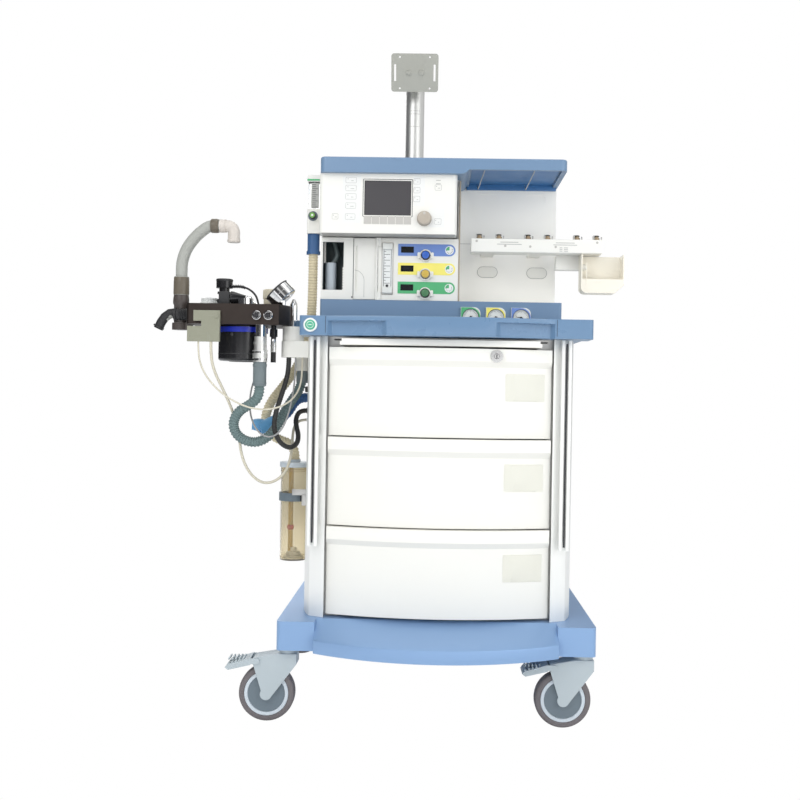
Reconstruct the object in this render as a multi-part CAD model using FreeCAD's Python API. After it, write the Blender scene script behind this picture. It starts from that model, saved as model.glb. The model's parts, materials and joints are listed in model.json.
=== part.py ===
import FreeCAD, Part
import math
import os
from FreeCAD import Vector as V

# Anaesthesia workstation on casters, in millimetres.  X runs to the operator's right, Y away from
# the operator and Z up.  The model is drawn about the middle of the cart (X = Y = 0) on the floor,
# and the last step moves it so that the origin is under the middle of its bounding box.

# ---- fits ---------------------------------------------------------------------------------------
RUN_GAP = 0.08          # radial gap between a shaft and its hole
AIR_GAP = 0.4           # gap between faces that pass each other

# ---- cart base and casters ----------------------------------------------------------------------
BASE_HALF = 352.0       # half width of the base
BASE_BACK = 330.0
BASE_FRONT = -330.0     # front face of the corner blocks
BASE_BOTTOM = 166.0
BASE_TOP = 230.0
BEAM_WIDTH = 84.0       # width of the side beams and corner blocks
TOE_START = -292.0      # where the toe ledge leaves the base top
TOE_BOW = 93.0          # how far the toe ledge bows out past the corner blocks
TOE_SIDE = 22.0         # how far its two ends stand out past the corner blocks
TOE_HEIGHT = 30.0       # height of its front face
BASE_SKIN = 4.0
BEAM_WALL = 5.0
CASTER_X = 330.0
CASTER_Y = 287.0
WHEEL_RADIUS = 62.5
WHEEL_WIDTH = 32.0
TYRE_THICK = 13.0
AXLE_RADIUS = 6.0
FORK_TRAIL = 46.0       # swivel axis to axle
FORK_GAP = 2.0          # wheel side to fork leg
FORK_PLATE = 5.0
FORK_HEAD_RADIUS = 21.0
SWIVEL_PIN_RADIUS = 9.0
SWIVEL_PIN_DEPTH = 34.0
HEAD_CLEAR = 1.0        # fork head to base
FORK_CROWN = 5.0        # clear height between the wheel and the fork's crown
FORK_TAIL = 30.0        # how far the crown reaches past the axle
LEG_RADIUS = 13.0
PEDAL_LENGTH = 68.0
PEDAL_EAR = 4.0
PEDAL_PIN_RADIUS = 3.0

# ---- cabinet ------------------------------------------------------------------------------------
CAB_HALF = 310.0        # outer face of the side panels
CAB_BACK = 290.0
CAB_ARC_Y = -150.0      # where the side starts to round towards the front
CAB_FRONT = -283.0
CAB_MOUTH = 254.0       # half width between the two front returns
CAB_SKIN = 3.0
CAB_TOP = 863.0
PLATE = 5.0
POST = 25.0
POST_INNER = 242.0      # inner face of the posts
POST_FRONT_Y = -255.0
POST_BACK_Y = 170.0

# ---- drawers ------------------------------------------------------------------------------------
DRAWER_COUNT = 3
DRAWER_HALF = 250.0
DRAWER_PITCH = 201.5
DRAWER_GAP = 3.0
DRAWER_SILL = 237.0     # underside of the lowest drawer front
DRAWER_EDGE_Y = -285.0  # front face at the two ends
DRAWER_BOW = 39.0
FRONT_BACK_Y = -261.0   # rear face of a drawer front
GRIP_BAND = 28.0        # height of the proud band along the top
GRIP_CHAMFER = 13.0
GRIP_DEPTH = 12.0       # the face below is set back this much
BOX_HALF = 226.0
BOX_BACK_Y = 188.0
BOX_WALL = 2.0
BOX_LIFT = 10.0         # box floor above the front's lower edge
BOX_HEIGHT = 150.0
RUNNER_HEIGHT = 36.0
RUNNER_WEB = 3.0
RUNNER_RISE = 60.0      # drawer sill to the middle of its runner
DRAWER_TRAVEL = 370.0
POCKET_LEFT = 146.0     # label pocket on each drawer
POCKET_WIDTH = 88.0
POCKET_HEIGHT = 60.0
POCKET_THICK = 1.2
LOCK_X = 124.0
LOCK_RADIUS = 12.0

# ---- worktop, tray and accessory rails ----------------------------------------------------------
TOP_LEFT = -300.0
TOP_RIGHT = 322.0
TOP_BACK = 262.0
TOP_Z = 906.0
TOP_FLOOR = 892.0       # surface inside the raised rim
RIM = 16.0
BLOCK_LEFT = -314.0     # outer end of the block that carries the flush button
BLOCK_RIGHT = 336.0
BLOCK_FRONT = -322.0
BLOCK_BACK = -232.0
GRIP_OUTER = 252.0      # outer end of each hand grip
GRIP_INNER = 119.0
GRIP_SET_BACK = 12.0
TOP_BOW_FRONT = -352.0
TRAY_HALF = 224.0
TRAY_THICK = 8.0
TRAY_Z = 843.0
TRAY_FRONT = -316.0
TRAY_BACK = 40.0
TRAY_TRAVEL = 240.0
TRAY_RAIL = 10.0
RAIL_X = 281.0
RAIL_WIDTH = 22.0
RAIL_DEPTH = 12.0
RAIL_FRONT = -297.0
RAIL_LOW = 392.0
RAIL_HIGH = 861.0
FLUSH_X = -289.0
FLUSH_Z = 885.0
FLUSH_RADIUS = 11.0
FLUSH_TRAVEL = 4.0

# ---- head unit ----------------------------------------------------------------------------------
HEAD_LEFT = -295.0
HEAD_RIGHT = 292.0
HEAD_BACK = 242.0
HEAD_SKIN = 3.0
HEAD_SPLIT = 41.0       # left face of the vaporiser alcove
MODULE_Y = -91.0        # front plane of the ventilator and flow panels
MODULE_LOW = 963.0
MODULE_HIGH = 1114.0
MODULE_THICK = 8.0
COVER_RIGHT = -216.0
DOOR_LEFT = -215.0
FLOW_LEFT = -156.0
FLOW_RIGHT = 40.0
KNUCKLE = 20.0          # length of each fixed hinge knuckle
HINGE_RADIUS = 2.5
HINGE_PROUD = 3.0       # hinge axis in front of the module face
PIN_RADIUS = 1.2
WINDOW_LEFT = -291.0
WINDOW_RIGHT = -240.0
WINDOW_LOW = 986.0
WINDOW_HIGH = 1103.0
BELLOWS_X = -275.0
BELLOWS_TOP = 1056.0
DISPLAY_LEFT = -296.0
DISPLAY_RIGHT = 34.0
DISPLAY_FRONT = -145.0
DISPLAY_LOW = 1117.0
DISPLAY_HIGH = 1259.0
DISPLAY_ROUND = 12.0
SCREEN_LEFT = -188.0
SCREEN_RIGHT = -76.0
SCREEN_LOW = 1160.0
SCREEN_HIGH = 1243.0
SCREEN_THICK = 2.0
DIAL_X = -44.0
DIAL_Z = 1153.0
DIAL_RADIUS = 17.0
DIAL_DEPTH = 16.0
FLOW_KNOB_X = -40.0
FLOW_KNOB_Z = (1072.5, 1026.5, 980.5)
FLOW_KNOB_NAMES = ("blue", "yellow", "green")
FLOW_KNOB_RADIUS = 10.5
FLOW_KNOB_DEPTH = 16.0
FLOW_GUARD_RADIUS = 14.5
KNOB_SHAFT = 3.0
FLOW_TUBE_X = -132.5
FLOW_TUBE_LOW = 978.0
FLOW_TUBE_HIGH = 1100.0
FLOW_TUBE_RADIUS = 7.0
CONSOLE_FRONT = -100.0
CONSOLE_TOP = 962.0
GAUGE_X = (71.5, 132.5, 193.5)
GAUGE_Z = 924.0
GAUGE_RADIUS = 20.0
GAUGE_DEPTH = 30.0
ALCOVE_Y = 55.0
ALCOVE_SKIN = 3.0
DECK_HALF = 293.0
DECK_FRONT = -160.0
DECK_BACK = 252.0
DECK_LOW = 1259.0
DECK_HIGH = 1296.0
HOOD_LOW = 1269.0       # underside of the deck over the alcove
HOOD_RECESS = 1277.0
HOOD_LIP = 12.0
SHELF_LEFT = -20.0      # left edge of the raised standing face, clear of the mast's foot
SHELF_INSET = 16.0
SHELF_RISE = 1.5

# ---- mast and monitor mount ---------------------------------------------------------------------
MAST_X = -76.0
MAST_Y = 60.0
MAST_RADIUS = 24.0
MAST_BORE = 20.5
MAST_TOP = 1520.0
MAST_FOOT_RADIUS = 42.0
MAST_FOOT_THICK = 7.0
TILT_RISE = 26.0           # mast top to the tilt pin
TILT_Z = MAST_TOP + TILT_RISE
TILT_Y = -4.0
TILT_PIN = 5.0
PLATE_STAND = 13.0      # tilt axis to the plate's back
PLATE_WIDTH = 118.0
PLATE_HEIGHT = 92.0
PLATE_SKIN = 3.0
PLATE_TILT = 20.0
VESA_HALF = 37.5
VESA_HOLE = 2.25

# ---- vaporiser bar and accessory holder ---------------------------------------------------------
BAR_LEFT = 71.0
BAR_RIGHT = 390.0
BAR_FRONT = -80.0
BAR_BACK = -30.0
BAR_LOW = 1085.0
BAR_HIGH = 1119.0
STATION_X = (115.0, 234.5, 354.5)
PORT_HALF = 24.0        # each station has two ports this far from its middle
PORT_RADIUS = 7.5
PORT_HEIGHT = 11.0
PORT_Y_BAR = -62.0
CARRIER_LEFT = 283.0
CARRIER_LOW = 1050.0
HOLDER_LEFT = 340.0
HOLDER_RIGHT = 444.5
HOLDER_LOW = 989.0
HOLDER_HIGH = 1083.0
HOLDER_BACK = -34.0
HOLDER_DEPTH = 48.0
HOLDER_WALL = 3.0
HOLDER_CORNER = 14.0

# ---- auxiliary flowmeter ------------------------------------------------------------------------
AUX_LEFT = -331.0
AUX_X = -318.0
AUX_Y = -60.0
AUX_LOW = 1125.0
AUX_HIGH = 1268.0
AUX_SPLIT = 1185.0      # body below, tube block above
AUX_KNOB_Z = 1167.0
AUX_KNOB_RADIUS = 8.0
CUFF_LOW = 1075.0

# ---- breathing system on its swing arm ----------------------------------------------------------
PIVOT_X = -347.0
PIVOT_Y = -180.0
HUB_RADIUS = 25.0
BRACKET_LOW = 816.0
HUB_LOW = 854.0
HUB_HIGH = 888.0
PIVOT_PIN = 12.0
POST_RADIUS = 9.0
POST_TOP = 953.0
SYSTEM_LEFT = -582.0
SYSTEM_RIGHT = -370.0   # where the block narrows towards its pivot
NECK_END = -352.0
NECK_HALF = 30.0
SYSTEM_FRONT = -255.0
SYSTEM_BACK = -100.0
SYSTEM_LOW = 888.0
SYSTEM_HIGH = 935.0
ABSORBER_X = -466.0
ABSORBER_RADIUS = 56.0
ABSORBER_NECK = 40.0
ABSORBER_LOW = 806.0
ABSORBER_HEIGHT = 80.0
PORT_X = -414.0
PORT_Y = -240.0
PROBE_X = -387.0
SENSOR_X = -507.0
SENSOR_Y = -200.0
APL_X = -403.0
APL_Y = -165.0
APL_PIN = 5.0
METER_FACE = V(-381.0, -222.0, 970.0)
METER_RADIUS = 31.5
METER_RIM = 14.0
METER_DEPTH = 30.0
METER_BACK_RADIUS = 28.5
METER_LEAN = 45.0       # how far its face leans over from upright to the left
BAG_X = -608.0
BAG_Y = -200.0
BAG_PIN = 9.0
BAG_SLEEVE = 15.0
BAG_SLEEVE_TOP = 1000.0
BAG_TUBE = 13.5

# ---- scavenging receiver ------------------------------------------------------------------------
RECEIVER_X = -352.0
RECEIVER_Y = -80.0
RECEIVER_RADIUS = 33.0
RECEIVER_LOW = 326.0
RECEIVER_HIGH = 552.0
RECEIVER_WALL = 3.0
RECEIVER_LID = 12.0

# ---- hoses and lines: points from one end to the other, chosen by hand --------------------------
VENT_HOSE = (24.0, [(-414, -240, 748), (-414, -240, 722), (-437, -237, 704), (-462, -232, 690),
                    (-477, -226, 664), (-472, -219, 637), (-450, -211, 619), (-421, -202, 616),
                    (-396, -192, 632), (-379, -181, 659), (-366, -169, 688), (-352, -157, 714),
                    (-338, -144, 736), (-330, -136, 761), (-330, -136, 786)])
BLACK_HOSE = (12.0, [(-354, -196, 816), (-354, -196, 786), (-361, -203, 752), (-371, -211, 717),
                     (-381, -217, 681), (-383, -218, 648), (-371, -212, 618), (-349, -199, 603),
                     (-333, -180, 613), (-333, -161, 634), (-341, -144, 652), (-345, -130, 671),
                     (-336, -126, 691), (-318, -126, 691)])
BLUE_HOSE = (24.0, [(-318, -100, 722), (-337, -100, 722), (-353, -107, 709), (-362, -117, 690),
                    (-375, -128, 674), (-392, -137, 665)])
BLUE_CUFF_LENGTH = 45.0
BEIGE_HOSE = (24.0, [(-318, -60, 1075), (-318, -60, 992), (-320, -61, 908), (-330, -67, 848),
                     (-351, -77, 795), (-382, -88, 749), (-413, -96, 708), (-425, -100, 668),
                     (-417, -98, 636), (-391, -90, 618), (-364, -83, 609), (-352, -80, 590),
                     (-352, -80, 570)])
CLEAR_TUBE = (6.5, [(-523, -260, 847), (-523, -260, 814), (-516, -255, 781), (-502, -244, 748),
                    (-489, -231, 717), (-479, -216, 686), (-472, -203, 654), (-467, -194, 621),
                    (-463, -190, 588), (-452, -187, 557), (-433, -184, 531), (-407, -181, 518),
                    (-380, -178, 526), (-360, -172, 547), (-351, -164, 576), (-349, -152, 605),
                    (-351, -135, 630), (-350, -118, 653), (-338, -108, 668), (-321, -108, 668)])
SAMPLE_LINE = (4.0, [(-552, -260, 847), (-552, -260, 815), (-541, -260, 781), (-520, -262, 752),
                     (-492, -265, 727), (-459, -268, 708), (-424, -268, 696), (-389, -262, 694),
                     (-358, -248, 703), (-335, -228, 722), (-324, -208, 750), (-322, -198, 783),
                     (-322, -198, 816)])
SENSOR_LEAD = (4.0, [(-424, -118, 888), (-424, -118, 856), (-428, -124, 821), (-436, -136, 789),
                     (-443, -155, 760), (-446, -177, 733), (-444, -197, 705), (-438, -212, 676),
                     (-425, -223, 650), (-405, -230, 632), (-381, -232, 631), (-362, -228, 649),
                     (-351, -221, 678), (-344, -212, 711), (-340, -204, 745), (-338, -198, 782),
                     (-338, -198, 816)])

Z_AXIS = V(0, 0, 1)
FORWARD = V(0, -1, 0)


# ---- small helpers ------------------------------------------------------------------------------
def box(x0, x1, y0, y1, z0, z1):
    """A box between two corners."""
    return Part.makeBox(x1 - x0, y1 - y0, z1 - z0, V(x0, y0, z0))


def rod(x, y, z, radius, length, axis=Z_AXIS):
    """A round bar that starts at a point and runs along an axis."""
    return Part.makeCylinder(radius, length, V(x, y, z), axis)


def ring(x, y, z, outer, inner, length, axis=Z_AXIS):
    """A round tube that starts at a point and runs along an axis."""
    return rod(x, y, z, outer, length, axis).cut(rod(x, y, z, inner, length, axis))


def wire(start, *steps):
    """A closed wire.  A step is a point for a straight side, or (middle, end) for an arc."""
    edges, here = [], V(*start)
    for step in list(steps) + [start]:
        if isinstance(step[0], (tuple, list)):
            edges.append(Part.Arc(here, V(*step[0]), V(*step[1])).toShape())
            here = V(*step[1])
        elif (V(*step) - here).Length > 1e-6:
            edges.append(Part.LineSegment(here, V(*step)).toShape())
            here = V(*step)
    return Part.Wire(edges)


def slab(outline, run):
    """The solid that a closed wire makes when it is moved along a vector."""
    return Part.Face(outline).extrude(run)


def plan(points, z0, z1):
    """A prism from points (x, y), or arcs ((x, y), (x, y)), between two heights."""
    def lift(p):
        return tuple(lift(q) for q in p) if isinstance(p[0], (tuple, list)) else (p[0], p[1], z0)
    return slab(wire(*[lift(p) for p in points]), V(0, 0, z1 - z0))


def front_view(points, y0, y1):
    """A prism from points (x, z), or arcs, between two depths."""
    def lift(p):
        return tuple(lift(q) for q in p) if isinstance(p[0], (tuple, list)) else (p[0], y0, p[1])
    return slab(wire(*[lift(p) for p in points]), V(0, y1 - y0, 0))


def fuse(first, *others):
    """One solid from several that touch or overlap."""
    return first.fuse(list(others)).removeSplitter()


def upright(edge):
    """True for a straight vertical edge."""
    return isinstance(edge.Curve, (Part.Line, Part.LineSegment)) and abs(
        edge.tangentAt(edge.FirstParameter).z) > 0.999


def rounded(shape, radius, wanted):
    """The shape with the wanted edges rounded."""
    return shape.makeFillet(radius, [e for e in shape.Edges if wanted(e)])


def turned(shape, centre, axis, degrees):
    """A copy turned about an axis through a point."""
    copy = shape.copy()
    copy.rotate(centre, axis, degrees)
    return copy


def tube_along(diameter, points):
    """A round cord of straight runs and tangent arcs through a list of points."""
    pts = [V(*p) for p in points]
    runs = [(b - a).Length for a, b in zip(pts, pts[1:])]
    edges, here, radii = [], pts[0], []
    for i in range(1, len(pts) - 1):
        before = (pts[i] - pts[i - 1]).normalize()
        after = (pts[i + 1] - pts[i]).normalize()
        turn = before.getAngle(after)
        cut = 0.45 * min(runs[i - 1], runs[i])
        radii.append(cut / math.tan(turn / 2))
        enter, leave = pts[i] - before * cut, pts[i] + after * cut
        bisector = (after - before).normalize()
        reach = radii[-1] / math.cos(turn / 2) - radii[-1]
        edges += [Part.LineSegment(here, enter).toShape(),
                  Part.Arc(enter, pts[i] + bisector * reach, leave).toShape()]
        here = leave
    edges.append(Part.LineSegment(here, pts[-1]).toShape())
    spine = Part.Wire(edges)
    section = Part.Wire(Part.makeCircle(diameter / 2, pts[0], pts[1] - pts[0]))
    solid = spine.makePipeShell([section], True, False)
    share = solid.Volume / (math.pi * diameter ** 2 / 4 * spine.Length)
    print(f"cord d {diameter:g}: length {spine.Length:.0f}, least radius {min(radii):.0f}, "
          f"volume / (section x length) {share:.3f}")
    return solid


# ---- cart ---------------------------------------------------------------------------------------
def toe_ledge():
    """The bowed front of the base: a ledge that falls from the base top to a thin front face."""
    half = BASE_HALF - BEAM_WIDTH
    side_y, bow_y = BASE_FRONT - TOE_SIDE, BASE_FRONT - TOE_BOW
    low, front_z = BASE_BOTTOM, BASE_BOTTOM + TOE_HEIGHT
    back = TOE_START

    def arc(z):
        return Part.Arc(V(-half, side_y, z), V(0, bow_y, z), V(half, side_y, z)).toShape()

    def line(a, b):
        return Part.LineSegment(V(*a), V(*b)).toShape()

    def face(*edges):
        return Part.Face(Part.Wire(Part.__sortEdges__(list(edges))))

    corners = {(s, n): p for s in (-1, 1) for n, p in (
        ("back_low", (s * half, back, low)), ("back_high", (s * half, back, BASE_TOP)),
        ("front_low", (s * half, side_y, low)), ("front_high", (s * half, side_y, front_z)))}
    low_arc, high_arc = arc(low), arc(front_z)
    back_low = line(corners[-1, "back_low"], corners[1, "back_low"])
    back_high = line(corners[-1, "back_high"], corners[1, "back_high"])
    sides, faces = {}, []
    for s in (-1, 1):
        sides[s] = [line(corners[s, a], corners[s, b]) for a, b in (
            ("back_low", "front_low"), ("front_low", "front_high"),
            ("front_high", "back_high"), ("back_high", "back_low"))]
        faces.append(face(*sides[s]))
    faces.append(face(back_low, sides[-1][0], low_arc, sides[1][0]))
    faces.append(face(back_low, sides[-1][3], back_high, sides[1][3]))
    faces.append(Part.makeRuledSurface(back_high, high_arc))
    faces.append(Part.makeRuledSurface(low_arc, high_arc))
    shell = Part.Shell(faces)
    shell.sewShape()
    solid = Part.Solid(shell)
    if solid.Volume < 0:
        solid.reverse()
    return solid


def base_frame():
    """Welded base: two side beams, a rear beam, the toe ledge and the cover plate over them."""
    inner = BASE_HALF - BEAM_WIDTH
    under = BASE_TOP - BASE_SKIN
    w = BEAM_WALL
    sockets = [rod(sx * CASTER_X, sy * CASTER_Y, BASE_BOTTOM, SWIVEL_PIN_RADIUS + RUN_GAP,
                   SWIVEL_PIN_DEPTH + AIR_GAP) for sx in (-1, 1) for sy in (-1, 1)]
    solids = []
    for side in (-1, 1):
        x0, x1 = sorted((side * inner, side * BASE_HALF))
        beam = box(x0, x1, BASE_FRONT, BASE_BACK, BASE_BOTTOM, under)
        beam = rounded(beam, 10, lambda e: upright(e) and abs(e.Vertexes[0].X) > BASE_HALF - 1)
        for socket in sockets:
            beam = beam.cut(socket)
        solids.append(beam.cut(box(x0 + w, x1 - w, -CASTER_Y + 45, CASTER_Y - 45, BASE_BOTTOM - 1,
                                   under - w)))
    rear = box(-inner, inner, BASE_BACK - BEAM_WIDTH, BASE_BACK, BASE_BOTTOM, under)
    solids.append(rear.cut(box(-inner + w, inner - w, BASE_BACK - BEAM_WIDTH + w, BASE_BACK - w,
                               BASE_BOTTOM - 1, under - w)))
    cover = box(-BASE_HALF, BASE_HALF, BASE_FRONT, BASE_BACK, under, BASE_TOP)
    cover = rounded(cover, 10, upright)
    toe_notch = box(-inner, inner, BASE_FRONT - 1, TOE_START, under - 1, BASE_TOP + 1)
    solids.append(cover.cut(toe_notch))
    solids.append(toe_ledge().cut(box(-inner + 16, inner - 16, BASE_FRONT - TOE_SIDE + w,
                                      TOE_START - w, BASE_BOTTOM - 1,
                                      BASE_BOTTOM + TOE_HEIGHT - w)))
    return Part.makeCompound(solids)


def caster_parts(cx, cy):
    """(fork, wheel) of the caster whose swivel axis stands at (cx, cy)."""
    ax, az = cx - FORK_TRAIL, WHEEL_RADIUS
    half = WHEEL_WIDTH / 2
    inner = half + FORK_GAP
    outer = inner + FORK_PLATE
    head_top = BASE_BOTTOM - HEAD_CLEAR
    guard = az + WHEEL_RADIUS + FORK_CROWN
    lean = math.atan2(guard - az, FORK_TRAIL)
    out_x, out_z = math.cos(lean) * LEG_RADIUS, math.sin(lean) * LEG_RADIUS
    side = front_view([(ax - out_z, az + out_x), ((ax - out_x, az - out_z), (ax + out_z, az - out_x)),
                       (cx + FORK_HEAD_RADIUS, guard), (cx + FORK_HEAD_RADIUS, head_top - 12),
                       (cx - FORK_HEAD_RADIUS, head_top - 12), (ax - FORK_TAIL, guard + 13),
                       (ax - FORK_TAIL, guard)], cy - outer, cy + outer)
    side = side.cut(box(ax - 90, cx + 60, cy - inner, cy + inner, 0, guard))
    head = rod(cx, cy, guard, FORK_HEAD_RADIUS, head_top - guard)
    pin = rod(cx, cy, head_top, SWIVEL_PIN_RADIUS, HEAD_CLEAR + SWIVEL_PIN_DEPTH)
    axle = rod(ax, cy - outer, az, AXLE_RADIUS, 2 * outer, V(0, 1, 0))
    fork = fuse(side, head, pin, axle)
    rim_radius = WHEEL_RADIUS - TYRE_THICK
    hub = rod(ax, cy - half + 1, az, rim_radius, WHEEL_WIDTH - 2, V(0, 1, 0))
    hub = hub.cut(rod(ax, cy - half, az, AXLE_RADIUS + RUN_GAP, WHEEL_WIDTH, V(0, 1, 0)))
    for start in (cy - half, cy + half - 4):
        hub = hub.cut(ring(ax, start, az, rim_radius - 8, 17, 4, V(0, 1, 0)))
    tyre = ring(ax, cy - half, az, WHEEL_RADIUS, rim_radius, WHEEL_WIDTH, V(0, 1, 0))
    tyre = rounded(tyre, 7, lambda e: abs(e.BoundBox.ZLength - 2 * WHEEL_RADIUS) < 0.1)
    return fork, Part.makeCompound([hub, tyre])


def pedal_pivot(cx, cy):
    """A point on the axis that the brake pedal of a caster turns about."""
    return V(cx - FORK_TRAIL - FORK_TAIL + 10, cy, 2 * WHEEL_RADIUS + FORK_CROWN + 6)


def brake_pedal(cx, cy):
    """Ribbed foot pedal pinned across the fork's tail."""
    hub = pedal_pivot(cx, cy)
    half = WHEEL_WIDTH / 2 + FORK_GAP + FORK_PLATE + AIR_GAP + PEDAL_EAR
    x1, x0 = hub.x - 15, hub.x - PEDAL_LENGTH
    blade = front_view([(x1, hub.z - 8), (x1, hub.z + 7), (x0, hub.z - 9), (x0 - 4, hub.z - 15),
                        (x0 + 3, hub.z - 20)], cy - half, cy + half)
    slope = 16 / (x1 - x0)
    ribs = [rod(x, cy - half + 3, hub.z - 8.5 + slope * (x - x0), 2.6, 2 * half - 6, V(0, 1, 0))
            for x in (x0 + 4 + 8 * i for i in range(4))]
    ears, pins = [], []
    for side in (-1, 1):
        y0, y1 = sorted((cy + side * half, cy + side * (half - PEDAL_EAR)))
        ears.append(box(x1 - 4, hub.x, y0, y1, hub.z - 6, hub.z + 6))
        ears.append(rod(hub.x, y0, hub.z, 6, PEDAL_EAR, V(0, 1, 0)))
        pins.append(rod(hub.x, cy + side * half, hub.z, PEDAL_PIN_RADIUS, 10, V(0, -side, 0)))
    return fuse(blade, *ribs, *ears, *pins)


def pedal_sockets(cx, cy):
    """The holes in the fork that take the pedal's two pins."""
    hub = pedal_pivot(cx, cy)
    return rod(hub.x, cy - 60, hub.z, PEDAL_PIN_RADIUS + RUN_GAP, 120, V(0, 1, 0))


# ---- cabinet ------------------------------------------------------------------------------------
def column_outline(side, inset):
    """Plan of one side of the cabinet, drawn in from its outer face by `inset`."""
    def p(x, y):
        return side * (x - inset), y
    return [p(CAB_HALF, CAB_BACK), p(CAB_HALF, CAB_ARC_Y),
            (p(CAB_HALF - 5, -218), p(CAB_HALF - 21, CAB_FRONT + 16 + inset)),
            (side * CAB_MOUTH, CAB_FRONT + inset)]


def cabinet_core(side):
    """The solid space inside one side of the cabinet, out to its painted face."""
    return plan(column_outline(side, 0) + [(side * CAB_MOUTH, CAB_BACK)], BASE_TOP, CAB_TOP)


def cabinet_sides():
    """The two folded side panels with their rounded front columns."""
    solids = []
    for side in (-1, 1):
        hollow = plan(column_outline(side, CAB_SKIN) + [(side * (CAB_MOUTH - 9), CAB_FRONT + CAB_SKIN),
                                                        (side * (CAB_MOUTH - 9), CAB_BACK)],
                      BASE_TOP - 1, CAB_TOP + 1)
        solids.append(cabinet_core(side).cut(hollow))
    return Part.makeCompound(solids)


def drawer_low(number):
    """Height of the lower edge of a drawer front; drawer 1 is the top one."""
    return DRAWER_SILL + (DRAWER_COUNT - number) * DRAWER_PITCH


def runner_mid(number):
    """Height of the middle of a drawer's runners."""
    return drawer_low(number) + RUNNER_RISE


def cabinet_frame():
    """Floor, top plate, back and four hollow posts."""
    out = POST_INNER + POST
    solids = [box(-out, out, POST_FRONT_Y, CAB_BACK - CAB_SKIN, BASE_TOP, BASE_TOP + PLATE),
              box(-out, out, POST_FRONT_Y, CAB_BACK - CAB_SKIN, CAB_TOP - PLATE, CAB_TOP),
              box(-CAB_HALF + CAB_SKIN, CAB_HALF - CAB_SKIN, CAB_BACK - CAB_SKIN, CAB_BACK,
                  BASE_TOP, CAB_TOP)]
    for side in (-1, 1):
        x0, x1 = sorted((side * POST_INNER, side * out))
        for y in (POST_FRONT_Y, POST_BACK_Y):
            post = box(x0, x1, y, y + POST, BASE_TOP + PLATE, CAB_TOP - PLATE)
            solids.append(post.cut(box(x0 + 3, x1 - 3, y + 3, y + POST - 3, BASE_TOP, CAB_TOP)))
    return Part.makeCompound(solids)


def drawer_runners():
    """Channels on the posts that the drawers slide in, and the guides of the writing tray."""
    solids = []
    far = POST_BACK_Y + POST
    for side in (-1, 1):
        for number in range(1, DRAWER_COUNT + 1):
            mid, half = runner_mid(number), RUNNER_HEIGHT / 2
            r0, r1 = sorted((side * (BOX_HALF + 2), side * POST_INNER))
            g0, g1 = sorted((side * BOX_HALF, side * (POST_INNER - RUNNER_WEB)))
            runner = box(r0, r1, POST_FRONT_Y, far, mid - half, mid + half)
            solids.append(runner.cut(box(g0, g1, POST_FRONT_Y - 1, far + 1, mid - half + RUNNER_WEB,
                                         mid + half - RUNNER_WEB)))
        t0, t1 = sorted((side * (TRAY_HALF - 6), side * POST_INNER))
        g0, g1 = sorted((side * (TRAY_HALF - 7), side * (TRAY_HALF + 1)))
        guide = box(t0, t1, POST_FRONT_Y, TRAY_BACK + 60, TRAY_Z - 2.6, TRAY_Z + TRAY_THICK + 4)
        solids.append(guide.cut(box(g0, g1, POST_FRONT_Y - 1, TRAY_BACK + 61, TRAY_Z - AIR_GAP,
                                    TRAY_Z + TRAY_THICK + AIR_GAP)))
    return Part.makeCompound(solids)


def front_outline(set_back, z):
    """Plan of a drawer front at one height, its bowed face set back by a distance."""
    edge, bow = DRAWER_EDGE_Y + set_back, DRAWER_EDGE_Y - DRAWER_BOW + set_back
    return wire((-DRAWER_HALF, FRONT_BACK_Y, z), (DRAWER_HALF, FRONT_BACK_Y, z),
                (DRAWER_HALF, edge, z), ((0, bow, z), (-DRAWER_HALF, edge, z)))


def face_y(x, set_back=0.0):
    """Where the bowed drawer face stands at one x."""
    radius = (DRAWER_HALF ** 2 + DRAWER_BOW ** 2) / (2 * DRAWER_BOW)
    return DRAWER_EDGE_Y - DRAWER_BOW + set_back + radius - math.sqrt(radius ** 2 - x ** 2)


def lock_height():
    """Height of the lock's axis on the band of drawer 1."""
    return drawer_low(1) + DRAWER_PITCH - DRAWER_GAP - GRIP_BAND / 2 - 2


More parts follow.
